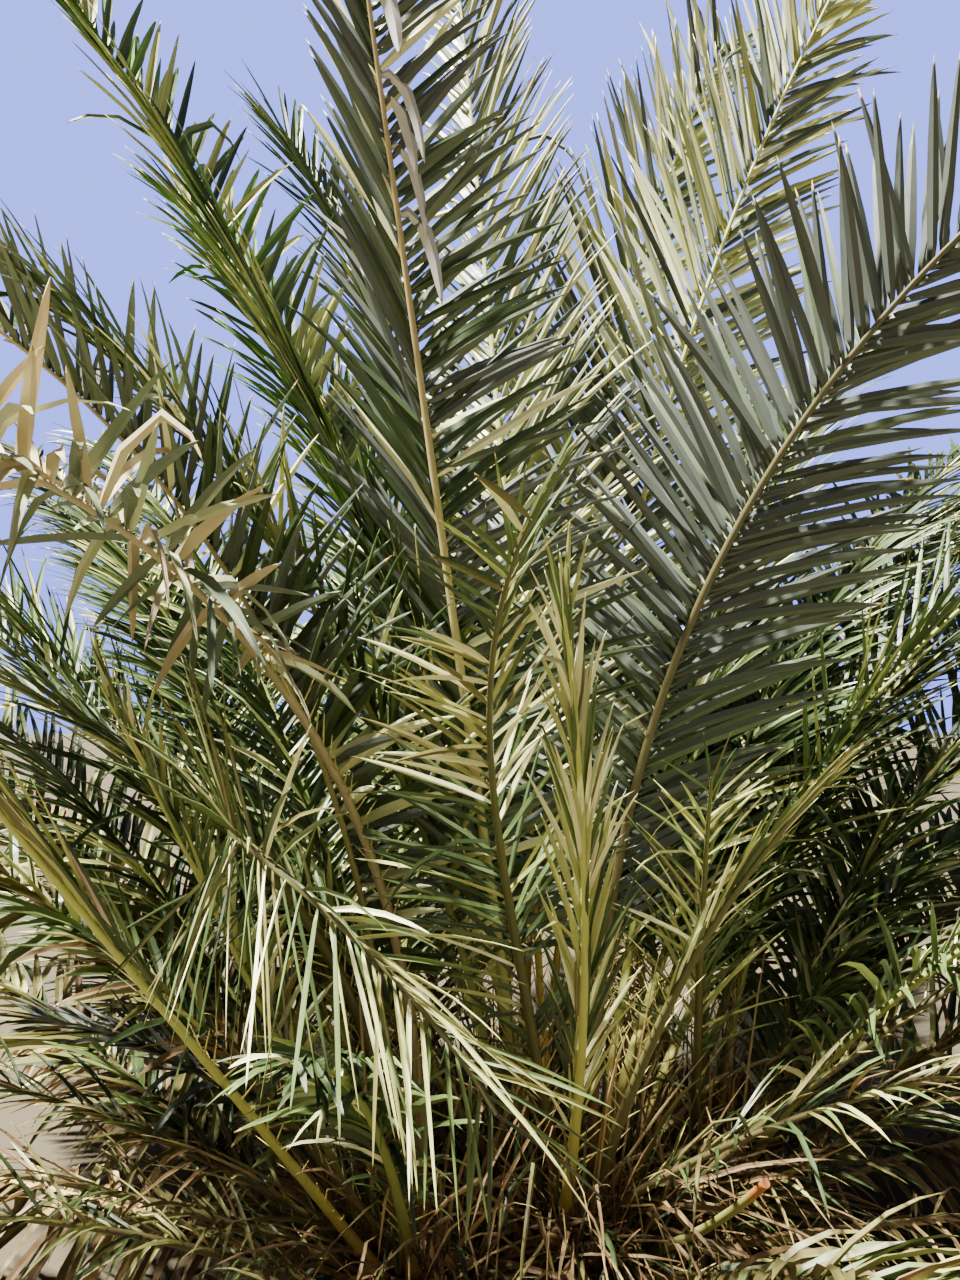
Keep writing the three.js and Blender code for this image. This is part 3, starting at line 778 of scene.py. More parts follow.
@dataclass
class Leaflets:
    """A batch of leaflets, one row of each array for each leaflet."""

    roots: np.ndarray
    ways: np.ndarray  # unit directions at the root
    faces_up: np.ndarray  # what their upper faces look to
    lengths: np.ndarray
    widths: np.ndarray
    droops: np.ndarray
    twists: np.ndarray  # turn of the blade from root to tip, in radians
    finishes: np.ndarray
    tips: np.ndarray  # finish of the last stretch

    def centrelines(self) -> tuple[np.ndarray, np.ndarray]:
        """Follows each leaflet from its root to its tip.

        Returns:
            Points and directions at the stations and the tip.
        """
        shares = np.append(LEAFLET_STATIONS[:, 0], 1.0)
        between = (shares[1:] + shares[:-1]) / 2

        def way(share: np.ndarray) -> np.ndarray:
            """Directions at shares of the length, bent down by the leaflet's own weight."""
            sag = -2 * self.droops[:, None] * share[None]
            return unit(self.ways[:, None] + sag[:, :, None] * np.array([0, 0, 1.0]))

        steps = way(between) * (np.diff(shares)[None] * self.lengths[:, None])[:, :, None]
        points = self.roots[:, None] + np.concatenate([0 * steps[:, :1], np.cumsum(steps, 1)], 1)
        return points, way(shares)

    def keep(self, mask: np.ndarray) -> "Leaflets":
        """The leaflets that a mask picks."""
        return Leaflets(*(getattr(self, name)[mask] for name in self.__dataclass_fields__))

    def put_into(self, surface: Surface) -> None:
        """Adds each leaflet as one closed folded blade.

        Args:
            surface: What takes them in.
        """
        count = len(self.roots)
        if count == 0:
            return
        stations = len(LEAFLET_STATIONS)
        points, ways = self.centrelines()
        middle, way = points[:, :stations], ways[:, :stations]
        flat_across = unit(np.cross(self.faces_up[:, None] + 0 * way, way))
        flat_normal = np.cross(way, flat_across)
        turn = (self.twists[:, None] * LEAFLET_STATIONS[:, 0])[:, :, None]
        across = flat_across * np.cos(turn) + flat_normal * np.sin(turn)
        normal = flat_normal * np.cos(turn) - flat_across * np.sin(turn)
        half = (self.widths[:, None] / 2 * LEAFLET_STATIONS[:, 1])[:, :, None]
        lift = half * LEAFLET_STATIONS[:, 2][None, :, None]
        ring = [
            middle + across * half + normal * lift,
            middle + normal * LEAFLET_HALF_THICKNESS,
            middle - across * half + normal * lift,
            middle - normal * LEAFLET_HALF_THICKNESS,
        ]
        body = np.concatenate([np.stack(ring, 2).reshape(count, -1, 3), points[:, -1:]], 1)
        body[:, :, 2] = np.maximum(body[:, :, 2], FLOOR_AIR)
        walls, tip = tube_faces(LEAFLET_SIDES, stations)
        foot = np.arange(LEAFLET_SIDES)[::-1][None]
        first = np.arange(count)[:, None, None] * LEAFLET_POINTS
        surface.add(
            body.reshape(-1, 3),
            [(first + faces[None]).reshape(-1, faces.shape[1]) for faces in (walls, tip, foot)],
            [np.repeat(self.finishes, len(walls)), np.repeat(self.tips, len(tip)), self.finishes],
        )


@dataclass
class Plumage:
    """The leaflets of the fronds, joined by stem and kind of frond."""

    fronds: list[Frond]
    seed: int = 7
    stray: float = 7.0  # how far leaflets stand off the rule, in degrees
    stray_along: float = 0.25  # against the pitch
    stray_aside: float = 0.7  # against stray
    spray: int = 4  # pairs that lean together
    spray_lean: float = 0.6  # against stray
    face_turn: float = 8.0  # degrees by which upper faces turn to the tip
    face_stray: float = 9.0
    twist: float = 0.35  # radians
    scorched: float = 0.2  # share of leaflets with a browned tip
    withered: float = 0.3  # share of leaflets that hang bleached on a withered stretch
    withered_droop: float = 3.0
    withered_change: tuple[float, float] = (-0.3, 0.5)  # in length and in width
    # Painted shade: the share of leaflets on that stretch that take the deep green, and the share of those
    # left out
    dark: float = 0.65  # share of leaflets that are dark on a shaded stretch
    dark_missing: float = 0.35  # share of those that are gone
    same_tone: int = 6  # pairs in a spray of one finish
    same_tone_share: float = 0.5  # share of leaflets that take the finish of their spray
    root_place: tuple[float, float] = (0.55, 0.2)  # aside and up, in half widths of the rib
    narrowest: float = 0.55  # width of a very short leaflet against the longest one
    length_range: tuple[float, float] = (0.86, 1.0)  # against the rule
    width_range: tuple[float, float] = (0.85, 1.15)
    droop_range: tuple[float, float] = (0.6, 1.4)  # against the frond's droop
    limp_range: tuple[float, float] = (0.3, 0.9)  # droop that a broken base adds
    cuts: tuple[float, ...] = (0.72, 0.5, 0.0)  # what is left of a leaflet at each try to clear a rib
    shortest: float = 0.05
    margin: float = 0.05  # round a frond, where other ribs are looked for

    def leaflet_share(self, b: np.ndarray) -> np.ndarray:
        """Length of leaflets along the blade against the longest one."""
        return np.minimum(1, FIRST_LEAFLET + LEAFLET_RISE * b) * (1 - (1 - TIP_LEAFLET) * b * b)

    def grow(self, frond: Frond, rng: np.random.Generator) -> Leaflets:
        """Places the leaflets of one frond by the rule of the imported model, more finely.

        Args:
            frond: The frond.
            rng: Source of the small differences between leaflets.

        Returns:
            The batch of leaflets.
        """
        pairs = round((1 - frond.bare) * frond.length / LEAFLET_PITCH)
        count = 2 * pairs
        b = np.repeat((np.arange(pairs) + 0.5) / pairs, 2)
        row = np.tile([1.0, -1.0], pairs)
        b = np.clip(b + rng.normal(0, self.stray_along, count) / pairs, 0, 1)
        shares = frond.bare + (1 - frond.bare) * b
        along, side, up, middle = frond.stations(shares)
        stray = self.stray * frond.ragged
        sprays = rng.normal(0, self.spray_lean * stray, pairs // self.spray + 2)
        tilt = np.array(TILTS)[(np.arange(count) // 2) % len(TILTS)] + rng.normal(0, stray, count)
        tilt = tilt + np.repeat(sprays, 2 * self.spray)[:count]
        wide = frond.open * (1 + row * frond.skew) * (SPLAY - SPLAY_FALL * b)
        off = np.radians(wide + rng.normal(0, self.stray_aside * stray, count))[:, None]
        rise = np.radians(frond.fold + tilt)[:, None]
        outward = side * (row[:, None] * np.sin(off) * np.cos(rise))
        way = unit(along * np.cos(off) + outward + up * (np.sin(off) * np.sin(rise)))
        size = (LEAFLET_BASE + LEAFLET_SHARE * frond.length) * frond.span * self.leaflet_share(b)
        turn = rng.normal(0, math.radians(self.face_stray * frond.ragged), count)
        turn = (turn + row * math.radians(self.face_turn))[:, None]
        faces_up = unit(up - way * (up * way).sum(-1, keepdims=True))
        faces_up = faces_up * np.cos(turn) + np.cross(way, faces_up) * np.sin(turn)
        half = frond.rib_width(shares)[:, None] / 2
        on_stretch = (b > frond.withered[0]) & (b < frond.withered[1]) & (row > 0)
        withered = on_stretch & (rng.random(count) < self.withered)
        limp = withered | (rng.random(count) < frond.limp)
        odds = np.array([share for _, share in SETS[frond.look]])
        odds = odds / odds.sum()
        bleached, scorched, dark = len(odds) + np.arange(len(AGED_AND_PAINTED_SHADE))
        single = rng.choice(len(odds), count, p=odds)
        shared = rng.choice(len(odds), pairs // self.same_tone + 2, p=odds)
        shared = np.repeat(shared, 2 * self.same_tone)[:count]
        finish = np.where(rng.random(count) < self.same_tone_share, shared, single)
        # Painted shade: most leaflets on the stretch near the foot take the deep green, and more of them are
        # left out
        low = (b < frond.shaded) & (rng.random(count) < self.dark)
        finish = np.where(withered, bleached, np.where(low, dark, finish))
        tips = np.where(rng.random(count) < self.scorched, scorched, finish)
        longer, wider = self.withered_change
        lengths = size * rng.uniform(*self.length_range, count) * (1 + longer * withered)
        widths = self.narrowest + (1 - self.narrowest) * size / size.max()
        widths = LEAFLET_WIDTH * frond.width * widths * rng.uniform(*self.width_range, count)
        droops = frond.droop * rng.uniform(*self.droop_range, count)
        droops = droops + limp * rng.uniform(*self.limp_range, count) + withered * self.withered_droop
        aside, above = self.root_place
        return Leaflets(
            roots=middle + side * (row[:, None] * half * aside) + up * (half * above),
            ways=way,
            faces_up=faces_up,
            lengths=lengths,
            widths=widths * (1 + wider * withered),
            droops=droops,
            twists=rng.normal(0, self.twist * frond.ragged, count),
            finishes=finish,
            tips=tips,
        ).keep(rng.random(count) > frond.missing + self.dark_missing * low)

    def cut_short(self, leaflets: Leaflets, frond: Frond) -> Leaflets:
        """Shortens leaflets that would run through another frond's rib, and drops the worst.

        Args:
            leaflets: The frond's leaflets.
            frond: The frond they belong to.

        Returns:
            The leaflets that stay.
        """
        others = np.concatenate([other.path[::2] for other in self.fronds if other is not frond])
        for share in self.cuts:
            probes = leaflets.centrelines()[0][:, 2:]
            low, high = probes.min((0, 1)) - self.margin, probes.max((0, 1)) + self.margin
            local = others[((others > low) & (others < high)).all(1)]
            if len(local):
                gaps = ((probes[:, :, None] - local[None, None]) ** 2).sum(-1).min((1, 2))
                leaflets.lengths = np.where(gaps < RIB_AIR**2, leaflets.lengths * share, leaflets.lengths)
        return leaflets.keep(leaflets.lengths > self.shortest)

    def build(self) -> Iterator[bpy.types.Object]:
        """Builds one piece for each stem and kind of frond.

        Yields:
            The pieces.
        """
        surfaces: dict[tuple[str, Look], Surface] = {}
        for number, frond in enumerate(self.fronds):
            if frond.bare < 1:
                grown = self.grow(frond, np.random.default_rng(self.seed + number))
                surface = surfaces.setdefault((frond.stem, frond.look), Surface())
                self.cut_short(grown, frond).put_into(surface)
        for (stem, look), surface in surfaces.items():
            piece = surface.mesh(f"{stem}_{look.label}_leaflets", LEAFLET_SIDES)
            for finish in (*(finish for finish, _ in SETS[look]), *AGED_AND_PAINTED_SHADE):
                piece.data.materials.append(finish.material())
            yield hand_over(piece, look.slot)


def node_tree(name: str, sizes: dict[str, tuple[str, Any]]) -> tuple[Any, dict[str, Any]]:
    """Starts a geometry tree with named inputs.

    Args:
        name: The tree's name.
        sizes: Socket type and default value of each input, by name.

    Returns:
        The tree, and what it is given: an output socket for each input, by name.
    """
    tree = bpy.data.node_groups.new(name, "GeometryNodeTree")
    tree.interface.new_socket("Geometry", in_out="INPUT", socket_type="NodeSocketGeometry")
    for label, (kind, value) in sizes.items():
        socket = tree.interface.new_socket(label, in_out="INPUT", socket_type=kind)
        if value is not None:
            socket.default_value = value
    tree.interface.new_socket("Geometry", in_out="OUTPUT", socket_type="NodeSocketGeometry")
    group = add_node(tree, "NodeGroupInput")
    return tree, {socket.name: socket for socket in group.outputs if socket.name}


def close_tree(tree: Any, shapes: Any, finish: Any) -> None:
    """Ends a geometry tree: instances made real, the finish set and the result given out.

    Args:
        tree: The geometry tree.
        shapes: The node that makes the shapes.
        finish: The socket that gives their material.
    """
    real = add_node(tree, "GeometryNodeRealizeInstances", inputs={"Geometry": shapes})
    dressed = add_node(tree, "GeometryNodeSetMaterial", inputs={"Geometry": real, "Material": finish})
    add_node(tree, "NodeGroupOutput", inputs={"Geometry": dressed})


def run_tree(base: bpy.types.Object, tree: Any, values: dict[str, Any], name: str) -> bpy.types.Object:
    """Runs a geometry tree on an object and keeps the result as a plain mesh.

    Args:
        base: The object that carries the points or the surface; it is removed.
        tree: The geometry tree.
        values: Input values by name.
        name: The new piece's name.

    Returns:
        The linked object with the plain mesh.
    """
    modifier = base.modifiers.new("build", "NODES")
    modifier.node_group = tree
    keys = {item.name: item.identifier for item in tree.interface.items_tree if item.in_out == "INPUT"}
    for label, value in values.items():
        modifier[keys[label]] = value
    seen = base.evaluated_get(bpy.context.evaluated_depsgraph_get())
    data = bpy.data.meshes.new_from_object(seen)
    base.modifiers.remove(modifier)
    bpy.data.objects.remove(base)
    data.name = name
    return link(bpy.data.objects.new(name, data))


def point_object(name: str, points: np.ndarray, edges: np.ndarray, **values: np.ndarray) -> bpy.types.Object:
    """Makes an object of bare points or lines with named values on its points.

    Args:
        name: The object's name.
        points: Places, one row each.
        edges: Pairs of point numbers.
        values: A number or a vector for each point, by name.

    Returns:
        The linked object.
    """
    data = bpy.data.meshes.new(name)
    data.from_pydata(points.tolist(), edges.tolist(), [])
    for label, value in values.items():
        kind, key = ("FLOAT_VECTOR", "vector") if value.ndim == 2 else ("FLOAT", "value")
        data.attributes.new(label, kind, "POINT").data.foreach_set(key, value.astype(np.float32).ravel())
    return link(bpy.data.objects.new(name, data))


def hand_over(piece: bpy.types.Object, slot: str, nodes: tuple[str, ...] = ()) -> bpy.types.Object:
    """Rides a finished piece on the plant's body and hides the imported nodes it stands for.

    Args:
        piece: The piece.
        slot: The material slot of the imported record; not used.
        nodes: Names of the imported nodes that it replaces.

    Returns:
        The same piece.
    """
    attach(piece, BODY)
    if nodes:
        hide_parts(*nodes)
    return piece


@dataclass
class Ribs:
    """The ribs and stalks of the fronds, joined by stem and kind of frond."""

    fronds: list[Frond]
    sides: int = 10
    flat_top: float = 0.55  # the upper face is planed off at this share of the half width
    stalk_steps: int = 10
    blade_steps: int = 34
    flare: float = 0.45  # the foot widens by this share where it clasps the stem
    flare_length: float = 0.10

    def tree(self) -> Any:
        """Builds the tree that sweeps a flat-topped oval along each line.

        Returns:
            The tree.
        """
        sizes = {
            "Sides": ("NodeSocketInt", self.sides),
            "Depth Share": ("NodeSocketFloat", DEPTH_SHARE),
            "Flat Top": ("NodeSocketFloat", self.flat_top),
            "Finish": ("NodeSocketMaterial", None),
        }
        tree, given = node_tree("rib_sweep", sizes)
        lines = add_node(tree, "GeometryNodeMeshToCurve", inputs={"Mesh": given["Geometry"]})
        side = add_node(tree, ATTRIBUTE, {"data_type": "FLOAT_VECTOR"}, {"Name": "rib_side"})
        half = add_node(tree, ATTRIBUTE, {"data_type": "FLOAT"}, {"Name": "rib_half"})
        facing = {"Curve": lines, "Normal": side}
        framed = add_node(tree, "GeometryNodeSetCurveNormal", {"mode": "FREE"}, facing)
        round_size = {"Resolution": given["Sides"], "Radius": 1.0}
        circle = add_node(tree, "GeometryNodeCurvePrimitiveCircle", inputs=round_size)
        flat = add_node(tree, "ShaderNodeCombineXYZ", inputs={0: 1.0, 1: given["Depth Share"], 2: 1.0})
        oval = add_node(tree, "GeometryNodeTransform", inputs={"Geometry": circle, "Scale": flat})
        limit = add_node(tree, "ShaderNodeCombineXYZ", inputs={0: 2.0, 1: given["Flat Top"], 2: 2.0})
        place = add_node(tree, "GeometryNodeInputPosition")
        planed = add_node(tree, "ShaderNodeVectorMath", {"operation": "MINIMUM"}, {0: place, 1: limit})
        section = add_node(tree, "GeometryNodeSetPosition", inputs={"Geometry": oval, "Position": planed})
        sweep = {"Curve": framed, "Profile Curve": section, "Scale": half, "Fill Caps": True}
        close_tree(tree, add_node(tree, "GeometryNodeCurveToMesh", inputs=sweep), given["Finish"])
        return tree

    def lines(self, name: str, fronds: list[Frond]) -> bpy.types.Object:
        """Draws the middle lines of some ribs, with their side vectors, half widths and shares.

        Args:
            name: The object's name.
            fronds: The fronds.

        Returns:
            The linked object.
        """
        points, edges, sides, halves, marks = [], [], [], [], []
        count = 0
        for frond in fronds:
            stalk = np.linspace(0, frond.bare, self.stalk_steps)
            blade = np.linspace(frond.bare, 1, self.blade_steps)[1:] if frond.bare < 1 else []
            shares = np.concatenate([[-SUNK_FOOT / frond.length], stalk, blade])
            _, side, _, middle = frond.stations(shares)
            clasp = 1 + self.flare * np.exp(-np.maximum(shares, 0) * frond.length / self.flare_length)
            points.append(middle)
            sides.append(side)
            halves.append(frond.rib_width(shares) / 2 * clasp)
            marks.append(np.maximum(shares, 0))
            chain = np.arange(count, count + len(shares))
            edges.append(np.stack([chain[:-1], chain[1:]], 1))
            count += len(shares)
        values = {"rib_side": sides, "rib_half": halves, "rib_share": marks}
        values = {label: np.concatenate(parts) for label, parts in values.items()}
        return point_object(name, np.concatenate(points), np.concatenate(edges), **values)

    def build(self) -> Iterator[bpy.types.Object]:
        """Builds one piece for each stem and kind of frond, and the cut stump.

        Yields:
            The pieces.
        """
        tree = self.tree()
        groups: dict[tuple[str, str, StalkFinish], list[Frond]] = {}
        for frond in self.fronds:
            key = (f"{frond.stem}_{frond.look.label}_ribs", frond.look.slot, STALKS[frond.look])
            if frond is CUT_STUMP:
                key = ("cut_stump_stalk", "cut_stalk", CUT_STALK)
            groups.setdefault(key, []).append(frond)
        for (name, slot, finish), fronds in groups.items():
            base = self.lines(name + "_lines", fronds)
            piece = run_tree(base, tree, {"Finish": finish.material()}, name)
            hosts = tuple(frond.name for frond in fronds if frond.start is None)
            yield hand_over(piece, slot, hosts)


def tube_faces(sides: int, rings: int) -> tuple[np.ndarray, np.ndarray]:
    """Numbers the corners of a tube whose vertices come ring by ring, and its top point after them.

    Args:
        sides: Vertices in each ring.
        rings: Number of rings.

    Returns:
        The faces of the wall, from the foot up, and those that close the top.
    """
    corner = np.arange(sides)
    after = (corner + 1) % sides
    level = sides * np.arange(rings - 1)[:, None]
    wall = np.stack([level + corner, level + after, level + sides + after, level + sides + corner], -1)
    last = sides * (rings - 1)
    top = np.stack([last + corner, last + after, np.full(sides, last + sides)], 1)
    return wall.reshape(-1, 4), top


def turned_shape(name: str, sides: int, profile: tuple, top: float) -> bpy.types.Object:
    """Makes a closed turned shape along +Z with a pointed top.

    Args:
        name: The object's name.
        sides: Number of sides.
        profile: Radius and height of each ring, from the foot up.
        top: Height of the point.

    Returns:
        The linked object.
    """
    turn = np.arange(sides) * 2 * math.pi / sides
    rings = [np.stack([r * np.cos(turn), r * np.sin(turn), 0 * turn + z], 1) for r, z in profile]
    foot = np.arange(sides)[::-1][None]
    surface = Surface()
    surface.add(np.concatenate([*rings, [[0, 0, top]]]), [*tube_faces(sides, len(profile)), foot])
    return surface.mesh(name)


@dataclass
class Outgrowths:
    """Spines and old leaf bases: small shapes that stand on the stalks and stems, set out by one tree."""

    fronds: list[Frond]
    seed: int = 23
    spine_pitch: float = 0.045
    spine_width: float = 0.0045
    spine_lengths: tuple[float, float] = (0.03, 0.105)  # low on the stalk and at the first leaflets
    spine_stray: tuple[float, float] = (0.6, 1.2)  # against those lengths
    spine_leans: tuple[float, float] = (32, 62)  # degrees off the stalk
    spine_lifts: tuple[float, float] = (-0.2, 0.8)  # out of the upper face, against aside
    spine_from: float = 0.3  # share of the stalk
    spine_seat: float = 0.7  # in half widths of the stalk
    boot_count: int = 34
    boot_turn: float = 137.5  # degrees from one leaf base to the next
    boot_shares: tuple[float, float] = (0.03, 0.75)  # of the stem's height
    boot_rises: tuple[float, float] = (48, 66)
    boot_stray: float = 6.0  # degrees
    boot_seat: float = 0.93  # against the stem's radius
    boot_sizes: tuple[tuple[float, float], ...] = ((0.055, 0.075), (0.018, 0.026), (0.07, 0.12))

    def tree(self) -> Any:
        """Builds the tree that stands a shape on each point, along the point's direction.

        Returns:
            The tree.
        """
        sizes = {"Shape": ("NodeSocketObject", None), "Finish": ("NodeSocketMaterial", None)}
        tree, given = node_tree("outgrowths", sizes)
        shape = add_node(tree, "GeometryNodeObjectInfo", inputs={"Object": given["Shape"]})
        way, across, size = (
            add_node(tree, ATTRIBUTE, {"data_type": "FLOAT_VECTOR"}, {"Name": label})
            for label in ("way", "across", "size")
        )
        axes = {"primary_axis": "Z", "secondary_axis": "X"}
        ways = {"Primary Axis": way, "Secondary Axis": across}
        aimed = add_node(tree, "FunctionNodeAxesToRotation", axes, ways)
        what = {"Points": given["Geometry"], "Instance": shape.outputs["Geometry"]}
        placed = add_node(tree, INSTANCES, inputs={**what, "Rotation": aimed, "Scale": size})
        close_tree(tree, placed, given["Finish"])
        return tree

    def spine_shape(self) -> bpy.types.Object:
        """A spine of unit length and unit width: a slim five-sided cone with a slight belly."""
        return turned_shape("spine_shape", 5, ((0.5, 0.0), (0.42, 0.35), (0.22, 0.8)), 1.0)

    def boot_shape(self) -> bpy.types.Object:
        """Makes a leaf base of unit size, broad and thin, with a ragged broken end.

        Returns:
            The linked object.
        """
        profile = ((0.56, 0.0), (0.5, 0.3), (0.4, 0.62), (0.34, 0.86), (0.26, 0.96))
        made = turned_shape("boot_shape", 12, profile, 0.9)
        for vertex in made.data.vertices:
            angle = math.atan2(vertex.co.y, vertex.co.x)
            if vertex.co.z > 0.7:
                vertex.co.z += 0.07 * math.sin(5 * angle) + 0.05 * math.cos(3 * angle)
        return made

    def spines(self, fronds: list[Frond]) -> dict[str, np.ndarray]:
        """Sets out the spines on the stalks.

        Args:
            fronds: The fronds that carry them.

        Returns:
            Places, directions and sizes by name, one row for each spine.
        """
        rows: dict[str, list[np.ndarray]] = {"points": [], "way": [], "across": [], "size": []}
        low, high = self.spine_lengths
        for number, frond in enumerate(fronds):
            rng = np.random.default_rng(self.seed * 100 + number)
            count = max(4, round(frond.bare * frond.length / self.spine_pitch))
            shares = np.repeat(np.linspace(self.spine_from, 1.0, count) * frond.bare, 2)
            along, side, up, middle = frond.stations(shares)
            row = np.tile([1.0, -1.0], count)[:, None]
            half = frond.rib_width(shares)[:, None] / 2
            lean = np.radians(rng.uniform(*self.spine_leans, len(shares)))[:, None]
            out = unit(side * row + up * rng.uniform(*self.spine_lifts, (len(shares), 1)))
            way = unit(along * np.cos(lean) + out * np.sin(lean))
            reach = low + (high - low) * shares / frond.bare
            reach = reach * rng.uniform(*self.spine_stray, len(shares))
            wide = np.full(len(shares), self.spine_width)
            rows["points"].append(middle + side * row * half * self.spine_seat)
            rows["way"].append(way)
            rows["across"].append(np.cross(way, up))
            rows["size"].append(np.stack([wide, wide, reach], 1))
        return {label: np.concatenate(parts) for label, parts in rows.items()}

    def boots(self, stem: Stem) -> dict[str, np.ndarray]:
        """Sets out the old leaf bases round one stem.

        Args:
            stem: The stem.

        Returns:
            Places, directions and sizes by name, one row for each leaf base.
        """
        rng = np.random.default_rng(self.seed + round(stem.radius * 1000))
        count = self.boot_count
        low, high = self.boot_shares
        share = low + (high - low) * np.arange(count) / count
        heading = np.arange(count) * self.boot_turn + rng.normal(0, self.boot_stray, count)
        outward = direction(heading, 0 * heading) * (stem.radius_at(share) * self.boot_seat)[:, None]
        return {
            "points": stem.middle(share * stem.height) + outward,
            "way": direction(heading, rng.uniform(*self.boot_rises, count)),
            "across": direction(heading + 90, 0 * heading),
            "size": np.stack([rng.uniform(*ends, count) for ends in self.boot_sizes], 1),
        }

    def build(self) -> Iterator[bpy.types.Object]:
        """Builds the spines of each stem's fronds and the leaf bases of each stem.

        Yields:
            The pieces.
        """
        tree = self.tree()
        spine, boot = self.spine_shape(), self.boot_shape()
        for name, stem in STEMS.items():
            own = [frond for frond in self.fronds if frond.stem == name and frond is not CUT_STUMP]
            jobs = (
                (f"{name}_spines", spine, self.spines(own), SPINE, "leaf_green"),
                (f"{name}_leaf_bases", boot, self.boots(stem), BARK, "stem_bark"),
            )
            for label, shape, rows, finish, slot in jobs:
                base = point_object(label + "_points", edges=np.zeros((0, 2), int), **rows)
                piece = run_tree(base, tree, {"Shape": shape, "Finish": finish.material()}, label)
                yield hand_over(piece, slot)
        for shape in (spine, boot):
            bpy.data.objects.remove(shape)


@dataclass
class StemBodies:
    """The stems: turned bodies with the relief of leaf bases, under a mat of fibre."""

    around: int = 96
    up: int = 40
    relief: float = 0.008
    skin: float = 0.002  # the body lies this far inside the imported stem
    fibre_count: float = 2600  # strands for each square metre
    fibre_length: float = 0.11
    fibre_thickness: float = 0.0022
    fibre_bow: float = 14.0  # in thicknesses
    fibre_lift: float = 0.55  # how far strands stand off the stem, against their wandering
    seed: int = 5

    def shape(self, stem: Stem) -> Surface:
        """Shapes the body of one stem, closed at the foot and at the bud.

        Args:
            stem: The stem.

        Returns:
            The closed surface.
        """
        shares = np.linspace(0, STEM_PROFILE[-1][0], self.up)
        turn = np.arange(self.around) * 2 * math.pi / self.around
        waves = np.sin(7 * turn + 9 * shares[:, None]) * np.sin(5 * turn - 13 * shares[:, None])
        fine = np.sin(31 * turn + 40 * shares[:, None]) * 0.35
        fade = np.minimum(1, 8 * shares)[:, None]
        out = stem.radius_at(shares)[:, None] + self.relief * (waves + fine) * fade - self.skin
        around = np.stack([np.cos(turn), np.sin(turn), 0 * turn], 1)
        ring = stem.middle(shares * stem.height)[:, None] + out[:, :, None] * around
        points = np.concatenate([ring.reshape(-1, 3), [stem.middle(stem.height)], [stem.middle(0.0)]])
        wall, bud = tube_faces(self.around, self.up)
        corner = np.arange(self.around)
        foot = np.stack([(corner + 1) % self.around, corner, np.full(self.around, len(points) - 1)], 1)
        surface = Surface()
        surface.add(points, [wall, foot, bud])
        return surface

    def fibre_tree(self) -> Any:
        """Builds the tree that strews bent strands over a surface.

        Returns:
            The tree.
        """
        sizes = {
            "Strand": ("NodeSocketObject", None),
            "Density": ("NodeSocketFloat", self.fibre_count),
            "Length": ("NodeSocketFloat", self.fibre_length),
            "Thickness": ("NodeSocketFloat", self.fibre_thickness),
            "Seed": ("NodeSocketInt", self.seed),
            "Finish": ("NodeSocketMaterial", None),
        }
        tree, given = node_tree("sheath_fibres", sizes)
        seed, thick = given["Seed"], given["Thickness"]
        spread = {"Mesh": given["Geometry"], "Density": given["Density"], "Seed": seed}
        spots = add_node(tree, "GeometryNodeDistributePointsOnFaces", inputs=spread)
        strand = add_node(tree, "GeometryNodeObjectInfo", inputs={"Object": given["Strand"]})
        ends = {0: (-0.8, -0.8, 0.0), 1: (0.8, 0.8, 1.6), "Seed": seed}
        wander = add_node(tree, RANDOM, {"data_type": "FLOAT_VECTOR"}, ends)
        parts = {0: spots.outputs["Normal"], 1: (self.fibre_lift,) * 3, 2: wander}
        aim = add_node(tree, "ShaderNodeVectorMath", {"operation": "MULTIPLY_ADD"}, parts)
        aimed = add_node(tree, "FunctionNodeAlignRotationToVector", {"axis": "Z"}, {"Vector": aim})
        share = add_node(tree, RANDOM, {"data_type": "FLOAT"}, {2: 0.5, 3: 1.5, "Seed": seed}).outputs[1]
        reach = add_node(tree, MATH, {"operation": "MULTIPLY"}, {0: share, 1: given["Length"]})
        size = add_node(tree, "ShaderNodeCombineXYZ", inputs={0: thick, 1: thick, 2: reach})
        placed = {"Points": spots, "Instance": strand.outputs["Geometry"], "Rotation": aimed, "Scale": size}
        close_tree(tree, add_node(tree, INSTANCES, inputs=placed), given["Finish"])
        return tree

    def build(self) -> Iterator[bpy.types.Object]:
        """Builds each stem's body and its mat of fibre.

        Yields:
            The pieces.
        """
        tree = self.fibre_tree()
        strand = turned_shape("strand_shape", 3, ((0.5, 0.0), (0.5, 0.4), (0.4, 0.75)), 1.0)
        for vertex in strand.data.vertices:
            vertex.co.x += self.fibre_bow * vertex.co.z**2
        for number, (name, stem) in enumerate(STEMS.items()):
            body = self.shape(stem).mesh(f"{name}_stem_body")
            body.data.materials.append(BARK.material())
            values = {"Strand": strand, "Seed": self.seed + number, "Finish": SHEATH.material()}
            fibre = run_tree(self.shape(stem).mesh(f"{name}_ground"), tree, values, f"{name}_fibre")
            for vertex in fibre.data.vertices:
                vertex.co.z = max(vertex.co.z, FLOOR_AIR)
            yield hand_over(body, "stem_bark", (f"{name}_stem",))
            yield hand_over(fibre, "stem_bark")
        bpy.data.objects.remove(strand)


